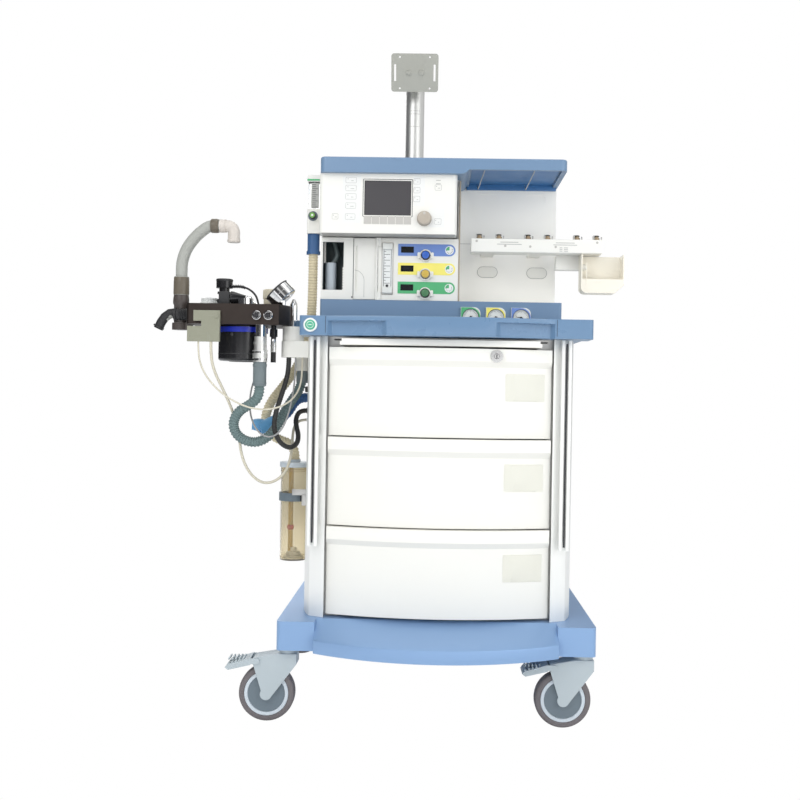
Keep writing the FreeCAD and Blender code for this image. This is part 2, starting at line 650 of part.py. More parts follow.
def drawer(number):
    """Moulded front with a grip band, a sheet box with its slides, and a clear label pocket."""
    low = drawer_low(number)
    high = low + DRAWER_PITCH - DRAWER_GAP
    shelf = high - GRIP_BAND
    band = slab(front_outline(0, shelf), V(0, 0, GRIP_BAND))
    neck = Part.makeLoft([front_outline(GRIP_DEPTH, shelf - GRIP_CHAMFER), front_outline(0, shelf)],
                         True, True)
    lower = slab(front_outline(GRIP_DEPTH, low), V(0, 0, shelf - GRIP_CHAMFER - low))
    front = fuse(band, neck, lower)
    if number == 1:
        front = front.cut(rod(LOCK_X, FRONT_BACK_Y + 1, lock_height(), LOCK_RADIUS + RUN_GAP, 90,
                              FORWARD))
    floor = low + BOX_LIFT
    tub = box(-BOX_HALF, BOX_HALF, FRONT_BACK_Y, BOX_BACK_Y, floor, floor + BOX_HEIGHT)
    tub = tub.cut(box(-BOX_HALF + BOX_WALL, BOX_HALF - BOX_WALL, FRONT_BACK_Y + BOX_WALL,
                      BOX_BACK_Y - BOX_WALL, floor + BOX_WALL, floor + BOX_HEIGHT + 1))
    half = RUNNER_HEIGHT / 2 - RUNNER_WEB - AIR_GAP
    slides = []
    for side in (-1, 1):
        x0, x1 = sorted((side * BOX_HALF, side * (POST_INNER - RUNNER_WEB - AIR_GAP)))
        slides.append(box(x0, x1, POST_FRONT_Y + 4, BOX_BACK_Y, runner_mid(number) - half,
                          runner_mid(number) + half))
    pocket_top = shelf - GRIP_CHAMFER - 14
    skin = slab(front_outline(GRIP_DEPTH - POCKET_THICK, pocket_top - POCKET_HEIGHT),
                V(0, 0, POCKET_HEIGHT)).cut(lower)
    pocket = skin.common(box(POCKET_LEFT, POCKET_LEFT + POCKET_WIDTH, -400, FRONT_BACK_Y - 1,
                             low, high))
    return Part.makeCompound([front, fuse(tub, *slides), pocket])


def drawer_lock():
    """Key barrel of the top drawer with its keyway and rear clip."""
    z, face = lock_height(), face_y(LOCK_X)
    proud = face_y(LOCK_X - LOCK_RADIUS - 2) - AIR_GAP
    clip = FRONT_BACK_Y + AIR_GAP
    barrel = fuse(rod(LOCK_X, proud, z, LOCK_RADIUS, clip + 2 - proud, V(0, 1, 0)),
                  rod(LOCK_X, proud, z, LOCK_RADIUS + 2, 2.5, FORWARD),
                  rod(LOCK_X, clip, z, LOCK_RADIUS + 2, 2, V(0, 1, 0)))
    return barrel.cut(box(LOCK_X - 1, LOCK_X + 1, proud - 4, face + 6, z - 5, z + 5))


def writing_tray():
    """Pull-out writing surface with a raised front lip."""
    plate = box(-TRAY_HALF, TRAY_HALF, TRAY_FRONT, TRAY_BACK, TRAY_Z, TRAY_Z + TRAY_THICK)
    lip = box(-TRAY_HALF + 4, TRAY_HALF - 4, TRAY_FRONT, TRAY_FRONT + 9, TRAY_Z, TRAY_Z + 14)
    return fuse(plate, lip)


def accessory_rails():
    """Two upright slotted rails standing on the front columns."""
    rails = []
    back = RAIL_FRONT + RAIL_DEPTH
    for side in (-1, 1):
        x = side * RAIL_X
        rail = box(x - RAIL_WIDTH / 2, x + RAIL_WIDTH / 2, RAIL_FRONT, back, RAIL_LOW, RAIL_HIGH)
        rail = rail.cut(box(x - 7, x + 7, RAIL_FRONT + 3, back - 3, RAIL_LOW - 1, RAIL_HIGH + 1))
        rail = rail.cut(box(x - 4, x + 4, RAIL_FRONT - 1, RAIL_FRONT + 4, RAIL_LOW - 1,
                            RAIL_HIGH + 1))
        pads = [box(x - 8, x + 8, back, CAB_FRONT + 45, z - 15, z + 15).cut(cabinet_core(side))
                for z in (RAIL_LOW + 30, (RAIL_LOW + RAIL_HIGH) / 2, RAIL_HIGH - 30)]
        pads = [max(pad.Solids, key=lambda s: -s.CenterOfMass.y) for pad in pads]
        rails.append(fuse(rail, *pads))
    return Part.makeCompound(rails)


# ---- worktop ------------------------------------------------------------------------------------
def worktop():
    """Moulded worktop: raised rim, corner blocks and a bowed front rail with two hand grips."""
    def bow(x):
        return BLOCK_FRONT + (TOP_BOW_FRONT - BLOCK_FRONT) * (1 - (x / GRIP_OUTER) ** 2)

    body = plan([(TOP_LEFT, TOP_BACK), (TOP_LEFT, BLOCK_BACK), (BLOCK_LEFT, BLOCK_BACK),
                 (BLOCK_LEFT, BLOCK_FRONT), (-GRIP_OUTER, BLOCK_FRONT),
                 ((0, TOP_BOW_FRONT), (GRIP_OUTER, BLOCK_FRONT)), (BLOCK_RIGHT, BLOCK_FRONT),
                 (BLOCK_RIGHT, BLOCK_BACK), (TOP_RIGHT, BLOCK_BACK), (TOP_RIGHT, TOP_BACK)],
                CAB_TOP, TOP_Z)
    body = rounded(body, 9, lambda e: upright(e) and abs(e.Vertexes[0].X) > GRIP_OUTER + 9
                   and (abs(e.Vertexes[0].Y - BLOCK_FRONT) < 1 or e.Vertexes[0].Y > 0))
    for side in (-1, 1):
        a, b = side * GRIP_INNER, side * GRIP_OUTER
        mid = (a + b) / 2
        scoop = plan([(a - side * 4, bow(a) - 6), (a + side * 10, bow(a) + GRIP_SET_BACK),
                      ((mid, bow(mid) + GRIP_SET_BACK + 3), (b - side * 10, bow(b) + GRIP_SET_BACK)),
                      (b + side * 4, bow(b) - 6)], CAB_TOP - 1, TOP_Z - 11)
        body = body.cut(scoop)
    body = body.cut(rounded(box(TOP_LEFT + RIM, TOP_RIGHT - RIM, BLOCK_FRONT + 18, CONSOLE_FRONT - 4,
                                TOP_FLOOR, TOP_Z + 5), 14, lambda e: upright(e)
                            and e.Vertexes[0].Y < -200))
    body = body.cut(box(TOP_LEFT - 1, TOP_RIGHT + 1, CONSOLE_FRONT - 4, TOP_BACK + 1, TOP_FLOOR,
                        TOP_Z + 5))
    body = body.cut(rod(FLUSH_X, BLOCK_FRONT - 1, FLUSH_Z, FLUSH_RADIUS + RUN_GAP, 27, V(0, 1, 0)))
    bezel = ring(FLUSH_X, BLOCK_FRONT, FLUSH_Z, FLUSH_RADIUS + 4, FLUSH_RADIUS + RUN_GAP, 4, FORWARD)
    return Part.makeCompound([body, bezel])


def flush_button():
    """Push button that slides into its bore in the worktop's left block."""
    button = rod(FLUSH_X, BLOCK_FRONT - 7, FLUSH_Z, FLUSH_RADIUS, 7 + 20, V(0, 1, 0))
    return rounded(button, 2, lambda e: e.BoundBox.YMax < BLOCK_FRONT - 6.9)


# ---- head unit ----------------------------------------------------------------------------------
def head_housing():
    """Painted sheet housing: console base, module bay on the left and service bay on the right."""
    front = MODULE_Y + MODULE_THICK
    s = HEAD_SKIN
    split = HEAD_SPLIT - 1
    shells = [(HEAD_LEFT, HEAD_RIGHT, front, HEAD_BACK, TOP_FLOOR, CONSOLE_TOP),
              (HEAD_LEFT, split, front, HEAD_BACK, CONSOLE_TOP, DECK_LOW),
              (split, HEAD_RIGHT, ALCOVE_Y + ALCOVE_SKIN, HEAD_BACK, CONSOLE_TOP, HOOD_LOW)]
    outer = fuse(*[box(*shell) for shell in shells])
    bays = [(HEAD_LEFT + s, HEAD_RIGHT - s, front - 1, HEAD_BACK - s, TOP_FLOOR + s, CONSOLE_TOP - s),
            (HEAD_LEFT + s, split - s, front - 1, HEAD_BACK - s, CONSOLE_TOP + s, DECK_LOW - s),
            (split + s, HEAD_RIGHT - s, ALCOVE_Y, HEAD_BACK - s, CONSOLE_TOP + s, HOOD_LOW - s)]
    for bay in bays:
        outer = outer.cut(box(*bay))
    for i in range(8):
        z = 1010 + 24 * i
        outer = outer.cut(box(-240, -80, HEAD_BACK - s - 1, HEAD_BACK + 1, z, z + 6))
    return outer


def ventilator_cover():
    """Cover with a tall window, and the bellows cylinder that stands behind it."""
    cover = box(HEAD_LEFT, COVER_RIGHT, MODULE_Y, MODULE_Y + MODULE_THICK, CONSOLE_TOP + 1,
                MODULE_HIGH)
    cover = cover.cut(box(WINDOW_LEFT, WINDOW_RIGHT, MODULE_Y - 1, MODULE_Y + MODULE_THICK + 1,
                          WINDOW_LOW, WINDOW_HIGH))
    foot = CONSOLE_TOP + HEAD_SKIN
    cylinder = ring(BELLOWS_X, -50, foot, 14, 11, BELLOWS_TOP - foot)
    flange = ring(BELLOWS_X, -50, foot, 16, 11, 6)
    return Part.makeCompound([cover, fuse(cylinder, flange)])


def hinge_line():
    """A point on the ventilator door's hinge axis."""
    return V(FLOW_LEFT - 3, MODULE_Y - HINGE_PROUD, 0)


def vent_door():
    """Service door with the long middle knuckle of its hinge."""
    axis = hinge_line()
    leaf = box(DOOR_LEFT, FLOW_LEFT - 2, MODULE_Y, MODULE_Y + MODULE_THICK, MODULE_LOW + 1,
               MODULE_HIGH - 1)
    grip = box(DOOR_LEFT + 4, DOOR_LEFT + 9, MODULE_Y - 1, MODULE_Y + 4, MODULE_LOW + 20,
               MODULE_HIGH - 20)
    low, high = MODULE_LOW + KNUCKLE + AIR_GAP, MODULE_HIGH - KNUCKLE - AIR_GAP
    knuckle = rod(axis.x, axis.y, low, HINGE_RADIUS, high - low)
    web = box(axis.x - 4, axis.x, axis.y, MODULE_Y, low, high)
    door = fuse(leaf.cut(grip), knuckle, web)
    return door.cut(rod(axis.x, axis.y, low - 1, PIN_RADIUS + RUN_GAP, high - low + 2))


def flow_panel():
    """Flow-control panel with knob collars and the fixed knuckles and pins of the door hinge."""
    back = MODULE_Y + MODULE_THICK
    panel = box(FLOW_LEFT, FLOW_RIGHT, MODULE_Y, back, CONSOLE_TOP + 1, MODULE_HIGH)
    panel = panel.cut(box(FLOW_TUBE_X - 13.5, FLOW_TUBE_X + 13.5, MODULE_Y - 1, back + 1,
                          FLOW_TUBE_LOW - 2, FLOW_TUBE_HIGH + 2))
    collars = []
    for z in FLOW_KNOB_Z:
        panel = panel.cut(rod(FLOW_KNOB_X, MODULE_Y - 1, z, KNOB_SHAFT + RUN_GAP, 20, V(0, 1, 0)))
        collars.append(ring(FLOW_KNOB_X, MODULE_Y, z, FLOW_GUARD_RADIUS, FLOW_GUARD_RADIUS - 2.5, 7,
                            FORWARD))
    axis = hinge_line()
    knuckles = []
    for low, high, pin_low in ((MODULE_LOW, MODULE_LOW + KNUCKLE, MODULE_LOW + KNUCKLE),
                               (MODULE_HIGH - KNUCKLE, MODULE_HIGH, MODULE_HIGH - KNUCKLE - 8)):
        knuckles.append(fuse(rod(axis.x, axis.y, low, HINGE_RADIUS, high - low),
                             rod(axis.x, axis.y, pin_low, PIN_RADIUS, 8),
                             box(axis.x, FLOW_LEFT + 8, axis.y - 1, MODULE_Y - 0.5, low, high),
                             box(FLOW_LEFT + 0.5, FLOW_LEFT + 8, MODULE_Y - 0.5, MODULE_Y, low,
                                 high)))
    return Part.makeCompound([panel, *collars, *knuckles])


def flow_tubes():
    """The common flow tube with its end blocks, and the tube block of the side flowmeter."""
    solids = []
    for low, high in ((FLOW_TUBE_LOW - 2, FLOW_TUBE_LOW + 4), (FLOW_TUBE_HIGH - 4, FLOW_TUBE_HIGH + 2)):
        solids.append(box(FLOW_TUBE_X - 13.5, FLOW_TUBE_X + 13.5, MODULE_Y + 1, MODULE_Y + 18, low,
                          high))
    solids.append(ring(FLOW_TUBE_X, MODULE_Y + 9, FLOW_TUBE_LOW + 4, FLOW_TUBE_RADIUS,
                       FLOW_TUBE_RADIUS - 1.5, FLOW_TUBE_HIGH - FLOW_TUBE_LOW - 8))
    block = box(AUX_LEFT, HEAD_LEFT, AUX_Y - 16, AUX_Y + 16, AUX_SPLIT, AUX_HIGH - 16)
    block = rounded(block, 5, lambda e: upright(e) and e.Vertexes[0].X < HEAD_LEFT - 9)
    solids.append(block.cut(rod(AUX_X, AUX_Y, AUX_SPLIT + 4, 5, AUX_HIGH)))
    return Part.makeCompound(solids)


def display_housing():
    """Display box with rounded corners, open at the back, with the screen's window."""
    back = MODULE_Y + MODULE_THICK
    shell = box(DISPLAY_LEFT, DISPLAY_RIGHT, DISPLAY_FRONT, back, DISPLAY_LOW, DISPLAY_HIGH)
    shell = rounded(shell, DISPLAY_ROUND, lambda e: upright(e) and e.Vertexes[0].Y < back - 1)
    s = HEAD_SKIN
    room = box(DISPLAY_LEFT + s, DISPLAY_RIGHT - s, DISPLAY_FRONT + s, back + 1, DISPLAY_LOW + s,
               DISPLAY_HIGH - s)
    room = rounded(room, DISPLAY_ROUND - s, lambda e: upright(e) and e.Vertexes[0].Y < back)
    shell = shell.cut(room)
    shell = shell.cut(box(SCREEN_LEFT, SCREEN_RIGHT, DISPLAY_FRONT - 1, DISPLAY_FRONT + s + 1,
                          SCREEN_LOW, SCREEN_HIGH))
    return shell.cut(rod(DIAL_X, DISPLAY_FRONT - 1, DIAL_Z, KNOB_SHAFT + RUN_GAP, 6, V(0, 1, 0)))


def display_screen():
    """Flat display behind the window."""
    return box(SCREEN_LEFT - 4, SCREEN_RIGHT + 4, DISPLAY_FRONT + HEAD_SKIN,
               DISPLAY_FRONT + HEAD_SKIN + SCREEN_THICK, SCREEN_LOW - 4, SCREEN_HIGH + 4)


def front_knob(x, face_plane, z, radius, depth, wall, grip=0):
    """A knob in front of a panel: skirt, shaft through the wall and a clip behind it."""
    knob = rod(x, face_plane - AIR_GAP, z, radius, depth, FORWARD)
    knob = rounded(knob, 1.5, lambda e: e.BoundBox.YMax < face_plane - depth)
    for i in range(grip):
        notch = rod(x, face_plane - depth * 0.35, z + radius + 0.6, 1.1, depth, FORWARD)
        knob = knob.cut(turned(notch, V(x, 0, z), V(0, 1, 0), 360 * i / grip))
    shaft = rod(x, face_plane - 2, z, KNOB_SHAFT, wall + 2 + 3, V(0, 1, 0))
    clip = rod(x, face_plane + wall + AIR_GAP, z, KNOB_SHAFT + 3, 2, V(0, 1, 0))
    return fuse(knob, shaft, clip)


def console_strip():
    """Console front under the modules, bored for the three supply gauges."""
    strip = box(HEAD_LEFT, HEAD_RIGHT, CONSOLE_FRONT, MODULE_Y + MODULE_THICK, TOP_FLOOR,
                CONSOLE_TOP)
    strip = rounded(strip, 6, lambda e: upright(e) and e.Vertexes[0].Y < CONSOLE_FRONT + 1)
    for x in GAUGE_X:
        strip = strip.cut(rod(x, CONSOLE_FRONT - 1, GAUGE_Z, GAUGE_RADIUS - 1, 30, V(0, 1, 0)))
    return strip


def supply_gauges():
    """Three pressure gauges, each with its shaped bezel plate."""
    gauges = []
    for x in GAUGE_X:
        h, r = GAUGE_RADIUS + 4, 15
        plate = front_view([(x - h, GAUGE_Z - h), (x + h, GAUGE_Z - h), (x + h, GAUGE_Z + h - r),
                            ((x + h - r * 0.293, GAUGE_Z + h - r * 0.293), (x + h - r, GAUGE_Z + h)),
                            (x - h, GAUGE_Z + h)], CONSOLE_FRONT - 2, CONSOLE_FRONT)
        body = rod(x, CONSOLE_FRONT, GAUGE_Z, GAUGE_RADIUS - 1, GAUGE_DEPTH, V(0, 1, 0))
        rim = ring(x, CONSOLE_FRONT - 2, GAUGE_Z, GAUGE_RADIUS, GAUGE_RADIUS - 2, 5, FORWARD)
        gauges.append(fuse(plate, body, rim))
    return Part.makeCompound(gauges)


def alcove_panel():
    """Back panel of the vaporiser alcove with two oval finger recesses."""
    panel = box(HEAD_SPLIT - 1, HEAD_RIGHT, ALCOVE_Y, ALCOVE_Y + ALCOVE_SKIN, CONSOLE_TOP, HOOD_LOW)
    for x in (115.0, 238.0):
        oval = fuse(box(x - 14, x + 14, ALCOVE_Y - 1, ALCOVE_Y + 1.5, 1229, 1253),
                    rod(x - 14, ALCOVE_Y - 1, 1241, 12, 2.5, V(0, 1, 0)),
                    rod(x + 14, ALCOVE_Y - 1, 1241, 12, 2.5, V(0, 1, 0)))
        panel = panel.cut(oval)
    return panel


def top_deck():
    """Flat top with a raised standing face, and a thin hood over the alcove."""
    step = HEAD_SPLIT + 3
    deck = front_view([(-DECK_HALF, DECK_LOW), (step, DECK_LOW),
                       ((step + 9, DECK_LOW + 3), (step + 16, HOOD_LOW)), (DECK_HALF, HOOD_LOW),
                       (DECK_HALF, DECK_HIGH), (-DECK_HALF, DECK_HIGH)], DECK_FRONT, DECK_BACK)
    deck = rounded(deck, 14, lambda e: upright(e) and abs(e.Vertexes[0].X) > DECK_HALF - 1)
    deck = rounded(deck, 4, lambda e: e.BoundBox.ZMin > DECK_HIGH - 0.1)
    deck = deck.cut(box(HEAD_SPLIT - 1, step + 16, ALCOVE_Y, DECK_BACK + 1, DECK_LOW - 1, HOOD_LOW))
    deck = deck.cut(box(step + 22, DECK_HALF - HOOD_LIP, DECK_FRONT + HOOD_LIP, ALCOVE_Y, HOOD_LOW - 1,
                        HOOD_RECESS))
    deck = deck.cut(box(HEAD_LEFT + 12, HEAD_SPLIT - 12, MODULE_Y + 20, HEAD_BACK - 12, DECK_LOW - 1,
                        DECK_HIGH - 6))
    shelf = box(SHELF_LEFT, DECK_HALF - SHELF_INSET, DECK_FRONT + SHELF_INSET, DECK_BACK - SHELF_INSET,
                DECK_HIGH - 2, DECK_HIGH + SHELF_RISE)
    return deck.fuse(rounded(shelf, 12, upright)).removeSplitter()


# ---- mast and monitor mount ---------------------------------------------------------------------
def mast():
    """Column with its bolted foot."""
    tube = ring(MAST_X, MAST_Y, DECK_HIGH, MAST_RADIUS, MAST_BORE, MAST_TOP - DECK_HIGH)
    foot = ring(MAST_X, MAST_Y, DECK_HIGH, MAST_FOOT_RADIUS, MAST_BORE, MAST_FOOT_THICK)
    bolts = [turned(rod(MAST_X + 33, MAST_Y, DECK_HIGH + MAST_FOOT_THICK, 4.5, 3),
                    V(MAST_X, MAST_Y, 0), Z_AXIS, 45 + 90 * i) for i in range(4)]
    return fuse(tube, foot, *bolts)


def mast_head():
    """Swivelling head: a plug in the column, a cap and a forward arm ending in a tongue."""
    seat = MAST_TOP + AIR_GAP
    plug = rod(MAST_X, MAST_Y, MAST_TOP - 60, MAST_BORE - RUN_GAP, 60 + AIR_GAP)
    cap = rod(MAST_X, MAST_Y, seat, MAST_RADIUS + 4, 12)
    arm = box(MAST_X - 14, MAST_X + 14, TILT_Y + 14, MAST_Y + 20, seat + 8, TILT_Z + 10)
    tongue = fuse(box(MAST_X - 8, MAST_X + 8, TILT_Y, TILT_Y + 16, TILT_Z - 9, TILT_Z + 9),
                  rod(MAST_X - 8, TILT_Y, TILT_Z, 9, 16, V(1, 0, 0)))
    head = fuse(plug, cap, arm, tongue)
    return head.cut(rod(MAST_X - 20, TILT_Y, TILT_Z, TILT_PIN + RUN_GAP, 40, V(1, 0, 0)))


def monitor_plate():
    """Tilting plate with a square hole pattern, four slots and two side lugs on a cross pin."""
    hw, hh, gap = PLATE_WIDTH / 2, PLATE_HEIGHT / 2, PLATE_STAND
    y1 = TILT_Y - gap
    y0 = y1 - PLATE_SKIN
    plate = box(MAST_X - hw, MAST_X + hw, y0, y1, TILT_Z - hh, TILT_Z + hh)
    plate = rounded(plate, 7, lambda e: abs(e.BoundBox.YLength - PLATE_SKIN) < 0.01)
    for sx in (-1, 1):
        for sz in (-1, 1):
            plate = plate.cut(rod(MAST_X + sx * VESA_HALF, y0 - 1, TILT_Z + sz * VESA_HALF, VESA_HOLE,
                                  PLATE_SKIN + 2, V(0, 1, 0)))
        x = MAST_X + sx * (VESA_HALF + 12)
        plate = plate.cut(box(x - 2.5, x + 2.5, y0 - 1, y1 + 1, TILT_Z - 20, TILT_Z + 20))
    parts = []
    for side in (-1, 1):
        x0, x1 = sorted((MAST_X + side * (8 + AIR_GAP), MAST_X + side * 13))
        parts.append(box(x0, x1, y1, TILT_Y, TILT_Z - 9, TILT_Z + 9))
        parts.append(rod(x0, TILT_Y, TILT_Z, 9, x1 - x0, V(1, 0, 0)))
        nut = Part.makePolygon([V(MAST_X + side * 16 + 6 * math.cos(math.radians(60 * i)), y0,
                                  TILT_Z + 6 * math.sin(math.radians(60 * i))) for i in range(7)])
        parts.append(slab(nut, V(0, -5, 0)))
    parts.append(rod(MAST_X - 13, TILT_Y, TILT_Z, TILT_PIN, 26, V(1, 0, 0)))
    return turned(fuse(plate, *parts), V(MAST_X, TILT_Y, TILT_Z), V(1, 0, 0), PLATE_TILT)


# ---- vaporiser bar, holder and side flowmeter ---------------------------------------------------
def vaporizer_bar():
    """Cross bar held off the alcove panel by two arms, with two ports at each station."""
    bar = box(BAR_LEFT, BAR_RIGHT, BAR_FRONT, BAR_BACK, BAR_LOW, BAR_HIGH)
    bar = rounded(bar, 3, lambda e: abs(e.BoundBox.XLength - (BAR_RIGHT - BAR_LEFT)) < 0.1)
    arms = [box(x - 16, x + 16, BAR_BACK, ALCOVE_Y, BAR_LOW + 5, BAR_HIGH - 5)
            for x in STATION_X[:2]]
    ports = []
    for x in STATION_X:
        for side in (-1, 1):
            px = x + side * PORT_HALF
            ports.append(fuse(rod(px, PORT_Y_BAR, BAR_HIGH, PORT_RADIUS, PORT_HEIGHT * 0.55),
                              rod(px, PORT_Y_BAR, BAR_HIGH, PORT_RADIUS - 2.5, PORT_HEIGHT)))
    return Part.makeCompound([fuse(bar, *arms), *ports])


def accessory_holder():
    """Open scoop for small items on a carrier block under the bar's right end."""
    carrier = box(CARRIER_LEFT, BAR_RIGHT, HOLDER_BACK, HOLDER_BACK + 26, CARRIER_LOW, BAR_LOW)

    def pocket(inset):
        left, right = HOLDER_LEFT + inset, HOLDER_RIGHT - inset
        low, r = HOLDER_LOW + inset, HOLDER_CORNER - inset
        return [(left, HOLDER_HIGH), (left, low + r),
                ((left + r * 0.293, low + r * 0.293), (left + r, low)), (right - 22, low),
                (right, low + 20), (right, HOLDER_HIGH)]
    front = HOLDER_BACK - HOLDER_DEPTH
    scoop = front_view(pocket(0), front, HOLDER_BACK)
    scoop = scoop.cut(front_view([(x, z + (20 if z == HOLDER_HIGH else 0)) if not
                                  isinstance(x, tuple) else (x, z)
                                  for x, z in pocket(HOLDER_WALL)],
                                 front + HOLDER_WALL, HOLDER_BACK - HOLDER_WALL))
    scoop = scoop.cut(box(HOLDER_LEFT + HOLDER_WALL, HOLDER_RIGHT - HOLDER_WALL, front - 1,
                          front + HOLDER_WALL + 1, HOLDER_LOW + 34, HOLDER_HIGH + 1))
    return Part.makeCompound([carrier, scoop])


def aux_flowmeter():
    """Body, cap and outlet cuff of the flowmeter on the housing's left side."""
    y0, y1 = AUX_Y - 20, AUX_Y + 20

    def block(low, high):
        return rounded(box(AUX_LEFT - 2, HEAD_LEFT, y0, y1, low, high), 6,
                       lambda e: upright(e) and e.Vertexes[0].X < HEAD_LEFT - 9)
    body = block(AUX_LOW, AUX_SPLIT).cut(rod(AUX_X, y0 - 1, AUX_KNOB_Z, KNOB_SHAFT + RUN_GAP, 16,
                                             V(0, 1, 0)))
    body = body.cut(box(AUX_X - 8, AUX_X + 8, y0 + 8, y1 - 8, AUX_KNOB_Z - 8, AUX_KNOB_Z + 8))
    cuff = fuse(rod(AUX_X, AUX_Y, CUFF_LOW, 15, AUX_LOW - CUFF_LOW),
                rod(AUX_X, AUX_Y, CUFF_LOW, 17, 8))
    return Part.makeCompound([body, block(AUX_HIGH - 16, AUX_HIGH), cuff])


# ---- breathing system ---------------------------------------------------------------------------
def pivot_bracket():
    """Fixed bracket on the cabinet's left side with the pin that the system swings on."""
    plate = fuse(rod(PIVOT_X, PIVOT_Y, BRACKET_LOW, HUB_RADIUS + 2, HUB_LOW - BRACKET_LOW),
                 box(PIVOT_X, -280, PIVOT_Y - 27, -110, BRACKET_LOW, HUB_LOW))
    plate = plate.cut(cabinet_core(-1))
    plate = max(plate.Solids, key=lambda s: -s.CenterOfMass.x)
    pin = rod(PIVOT_X, PIVOT_Y, HUB_LOW, PIVOT_PIN, HUB_HIGH - HUB_LOW - 8)
    inlet = rod(-330, -136, 786, 15, BRACKET_LOW - 786)
    return fuse(plate, pin, inlet)


def breathing_block():
    """Valve block that narrows towards its pivot."""
    block = plan([(SYSTEM_LEFT, SYSTEM_BACK), (SYSTEM_LEFT, SYSTEM_FRONT),
                  (SYSTEM_RIGHT, SYSTEM_FRONT), (NECK_END, PIVOT_Y - NECK_HALF),
                  (NECK_END, PIVOT_Y + NECK_HALF), (SYSTEM_RIGHT, SYSTEM_BACK)],
                 SYSTEM_LOW, SYSTEM_HIGH)
    block = rounded(block, 7, lambda e: upright(e) and e.Vertexes[0].X < SYSTEM_LEFT + 1)
    block = block.cut(meter_case(AIR_GAP))
    return block.cut(rod(ABSORBER_X, PIVOT_Y, SYSTEM_LOW - 1, ABSORBER_NECK + RUN_GAP, 12))


def swing_post():
    """Hub that turns on the bracket's pin, and the flanged post that carries the block."""
    hub = ring(PIVOT_X, PIVOT_Y, HUB_LOW + AIR_GAP, HUB_RADIUS, PIVOT_PIN + RUN_GAP,
               HUB_HIGH - HUB_LOW - AIR_GAP)
    post = fuse(rod(PIVOT_X, PIVOT_Y, HUB_HIGH, POST_RADIUS + 8, 15),
                rod(PIVOT_X, PIVOT_Y, HUB_HIGH, POST_RADIUS, POST_TOP - 12 - HUB_HIGH),
                Part.makeCone(POST_RADIUS, 3, 12, V(PIVOT_X, PIVOT_Y, POST_TOP - 12)))
    slot = box(NECK_END - 30, NECK_END, PIVOT_Y - NECK_HALF, PIVOT_Y + NECK_HALF, SYSTEM_LOW,
               SYSTEM_HIGH)
    return Part.makeCompound([hub, post.cut(slot)])


def absorber_canister():
    """Absorbent canister with its locking ring; the neck plugs into the block."""
    top = ABSORBER_LOW + ABSORBER_HEIGHT
    can = rod(ABSORBER_X, PIVOT_Y, ABSORBER_LOW, ABSORBER_RADIUS, ABSORBER_HEIGHT)
    can = rounded(can, 6, lambda e: e.BoundBox.ZMax < ABSORBER_LOW + 0.1)
    neck = rod(ABSORBER_X, PIVOT_Y, top, ABSORBER_NECK, SYSTEM_LOW + 10 - top)
    band = ring(ABSORBER_X, PIVOT_Y, top - 14, ABSORBER_RADIUS + 3, ABSORBER_RADIUS, 12)
    lugs = [turned(box(ABSORBER_X + ABSORBER_RADIUS + 2, ABSORBER_X + ABSORBER_RADIUS + 8,
                       PIVOT_Y - 7, PIVOT_Y + 7, top - 14, top - 2), V(ABSORBER_X, PIVOT_Y, 0),
                   Z_AXIS, 200 + 120 * i) for i in range(3)]
    return Part.makeCompound([fuse(can, neck), fuse(band, *lugs)])


def block_fittings():
    """Ports, probe, flow sensor, valve seat, screws and the bag arm's socket on the block."""
    top, low = SYSTEM_HIGH, SYSTEM_LOW
    port = fuse(rod(PORT_X, PORT_Y, 830, 13, low - 830), rod(PORT_X, PORT_Y, 803, 16, 27))
    cuff = rod(PORT_X, PORT_Y, 748, 15, 803 - 748)
    probe = fuse(rod(PROBE_X, -218, 803, 6, low - 803), rod(PROBE_X, -218, 862, 9, 18))
    spool = fuse(rod(SENSOR_X, SENSOR_Y, top, 12, 40), rod(SENSOR_X, SENSOR_Y, top, 16, 8),
                 rod(SENSOR_X, SENSOR_Y, top + 40, 19, 19), rod(SENSOR_X, SENSOR_Y, top + 26, 16, 5))
    seat = fuse(rod(APL_X, APL_Y, top, 14, 6), rod(APL_X, APL_Y, top, APL_PIN, 26))
    collar = ring(-456, -215, top, 20, 12, 15)
    dome = fuse(rod(-546, -150, top, 24, 5), rod(-546, -150, top, 19, 12))
    screws = [rod(x, SYSTEM_FRONT, 909, 9, 6, FORWARD) for x in (-420, -393)]
    socket = fuse(rod(BAG_X, BAG_Y, 876, 20, 16), box(BAG_X, SYSTEM_LEFT, BAG_Y - 14, BAG_Y + 14, 876,
                                                      892),
                  box(BAG_X + BAG_SLEEVE + 1, SYSTEM_LEFT, BAG_Y - 14, BAG_Y + 14, 890, 906))
    socket = socket.cut(rod(BAG_X, BAG_Y, 878, BAG_PIN + RUN_GAP, 20))
    return Part.makeCompound([port, cuff, probe, spool, seat, collar, dome, *screws, socket])


def side_plate():
    """Plate on the block's front, notched round a bar, with a screw."""
    y0, y1 = SYSTEM_FRONT - 10, SYSTEM_FRONT
    plate = front_view([(-563, 918), (-503, 918), (-503, 847), (-577, 847), (-577, 882),
                        (-545, 882), (-545, 894), (-563, 894)], y0, y1)
    return fuse(plate, rod(-511, y0, 905, 5, 2.5, FORWARD))


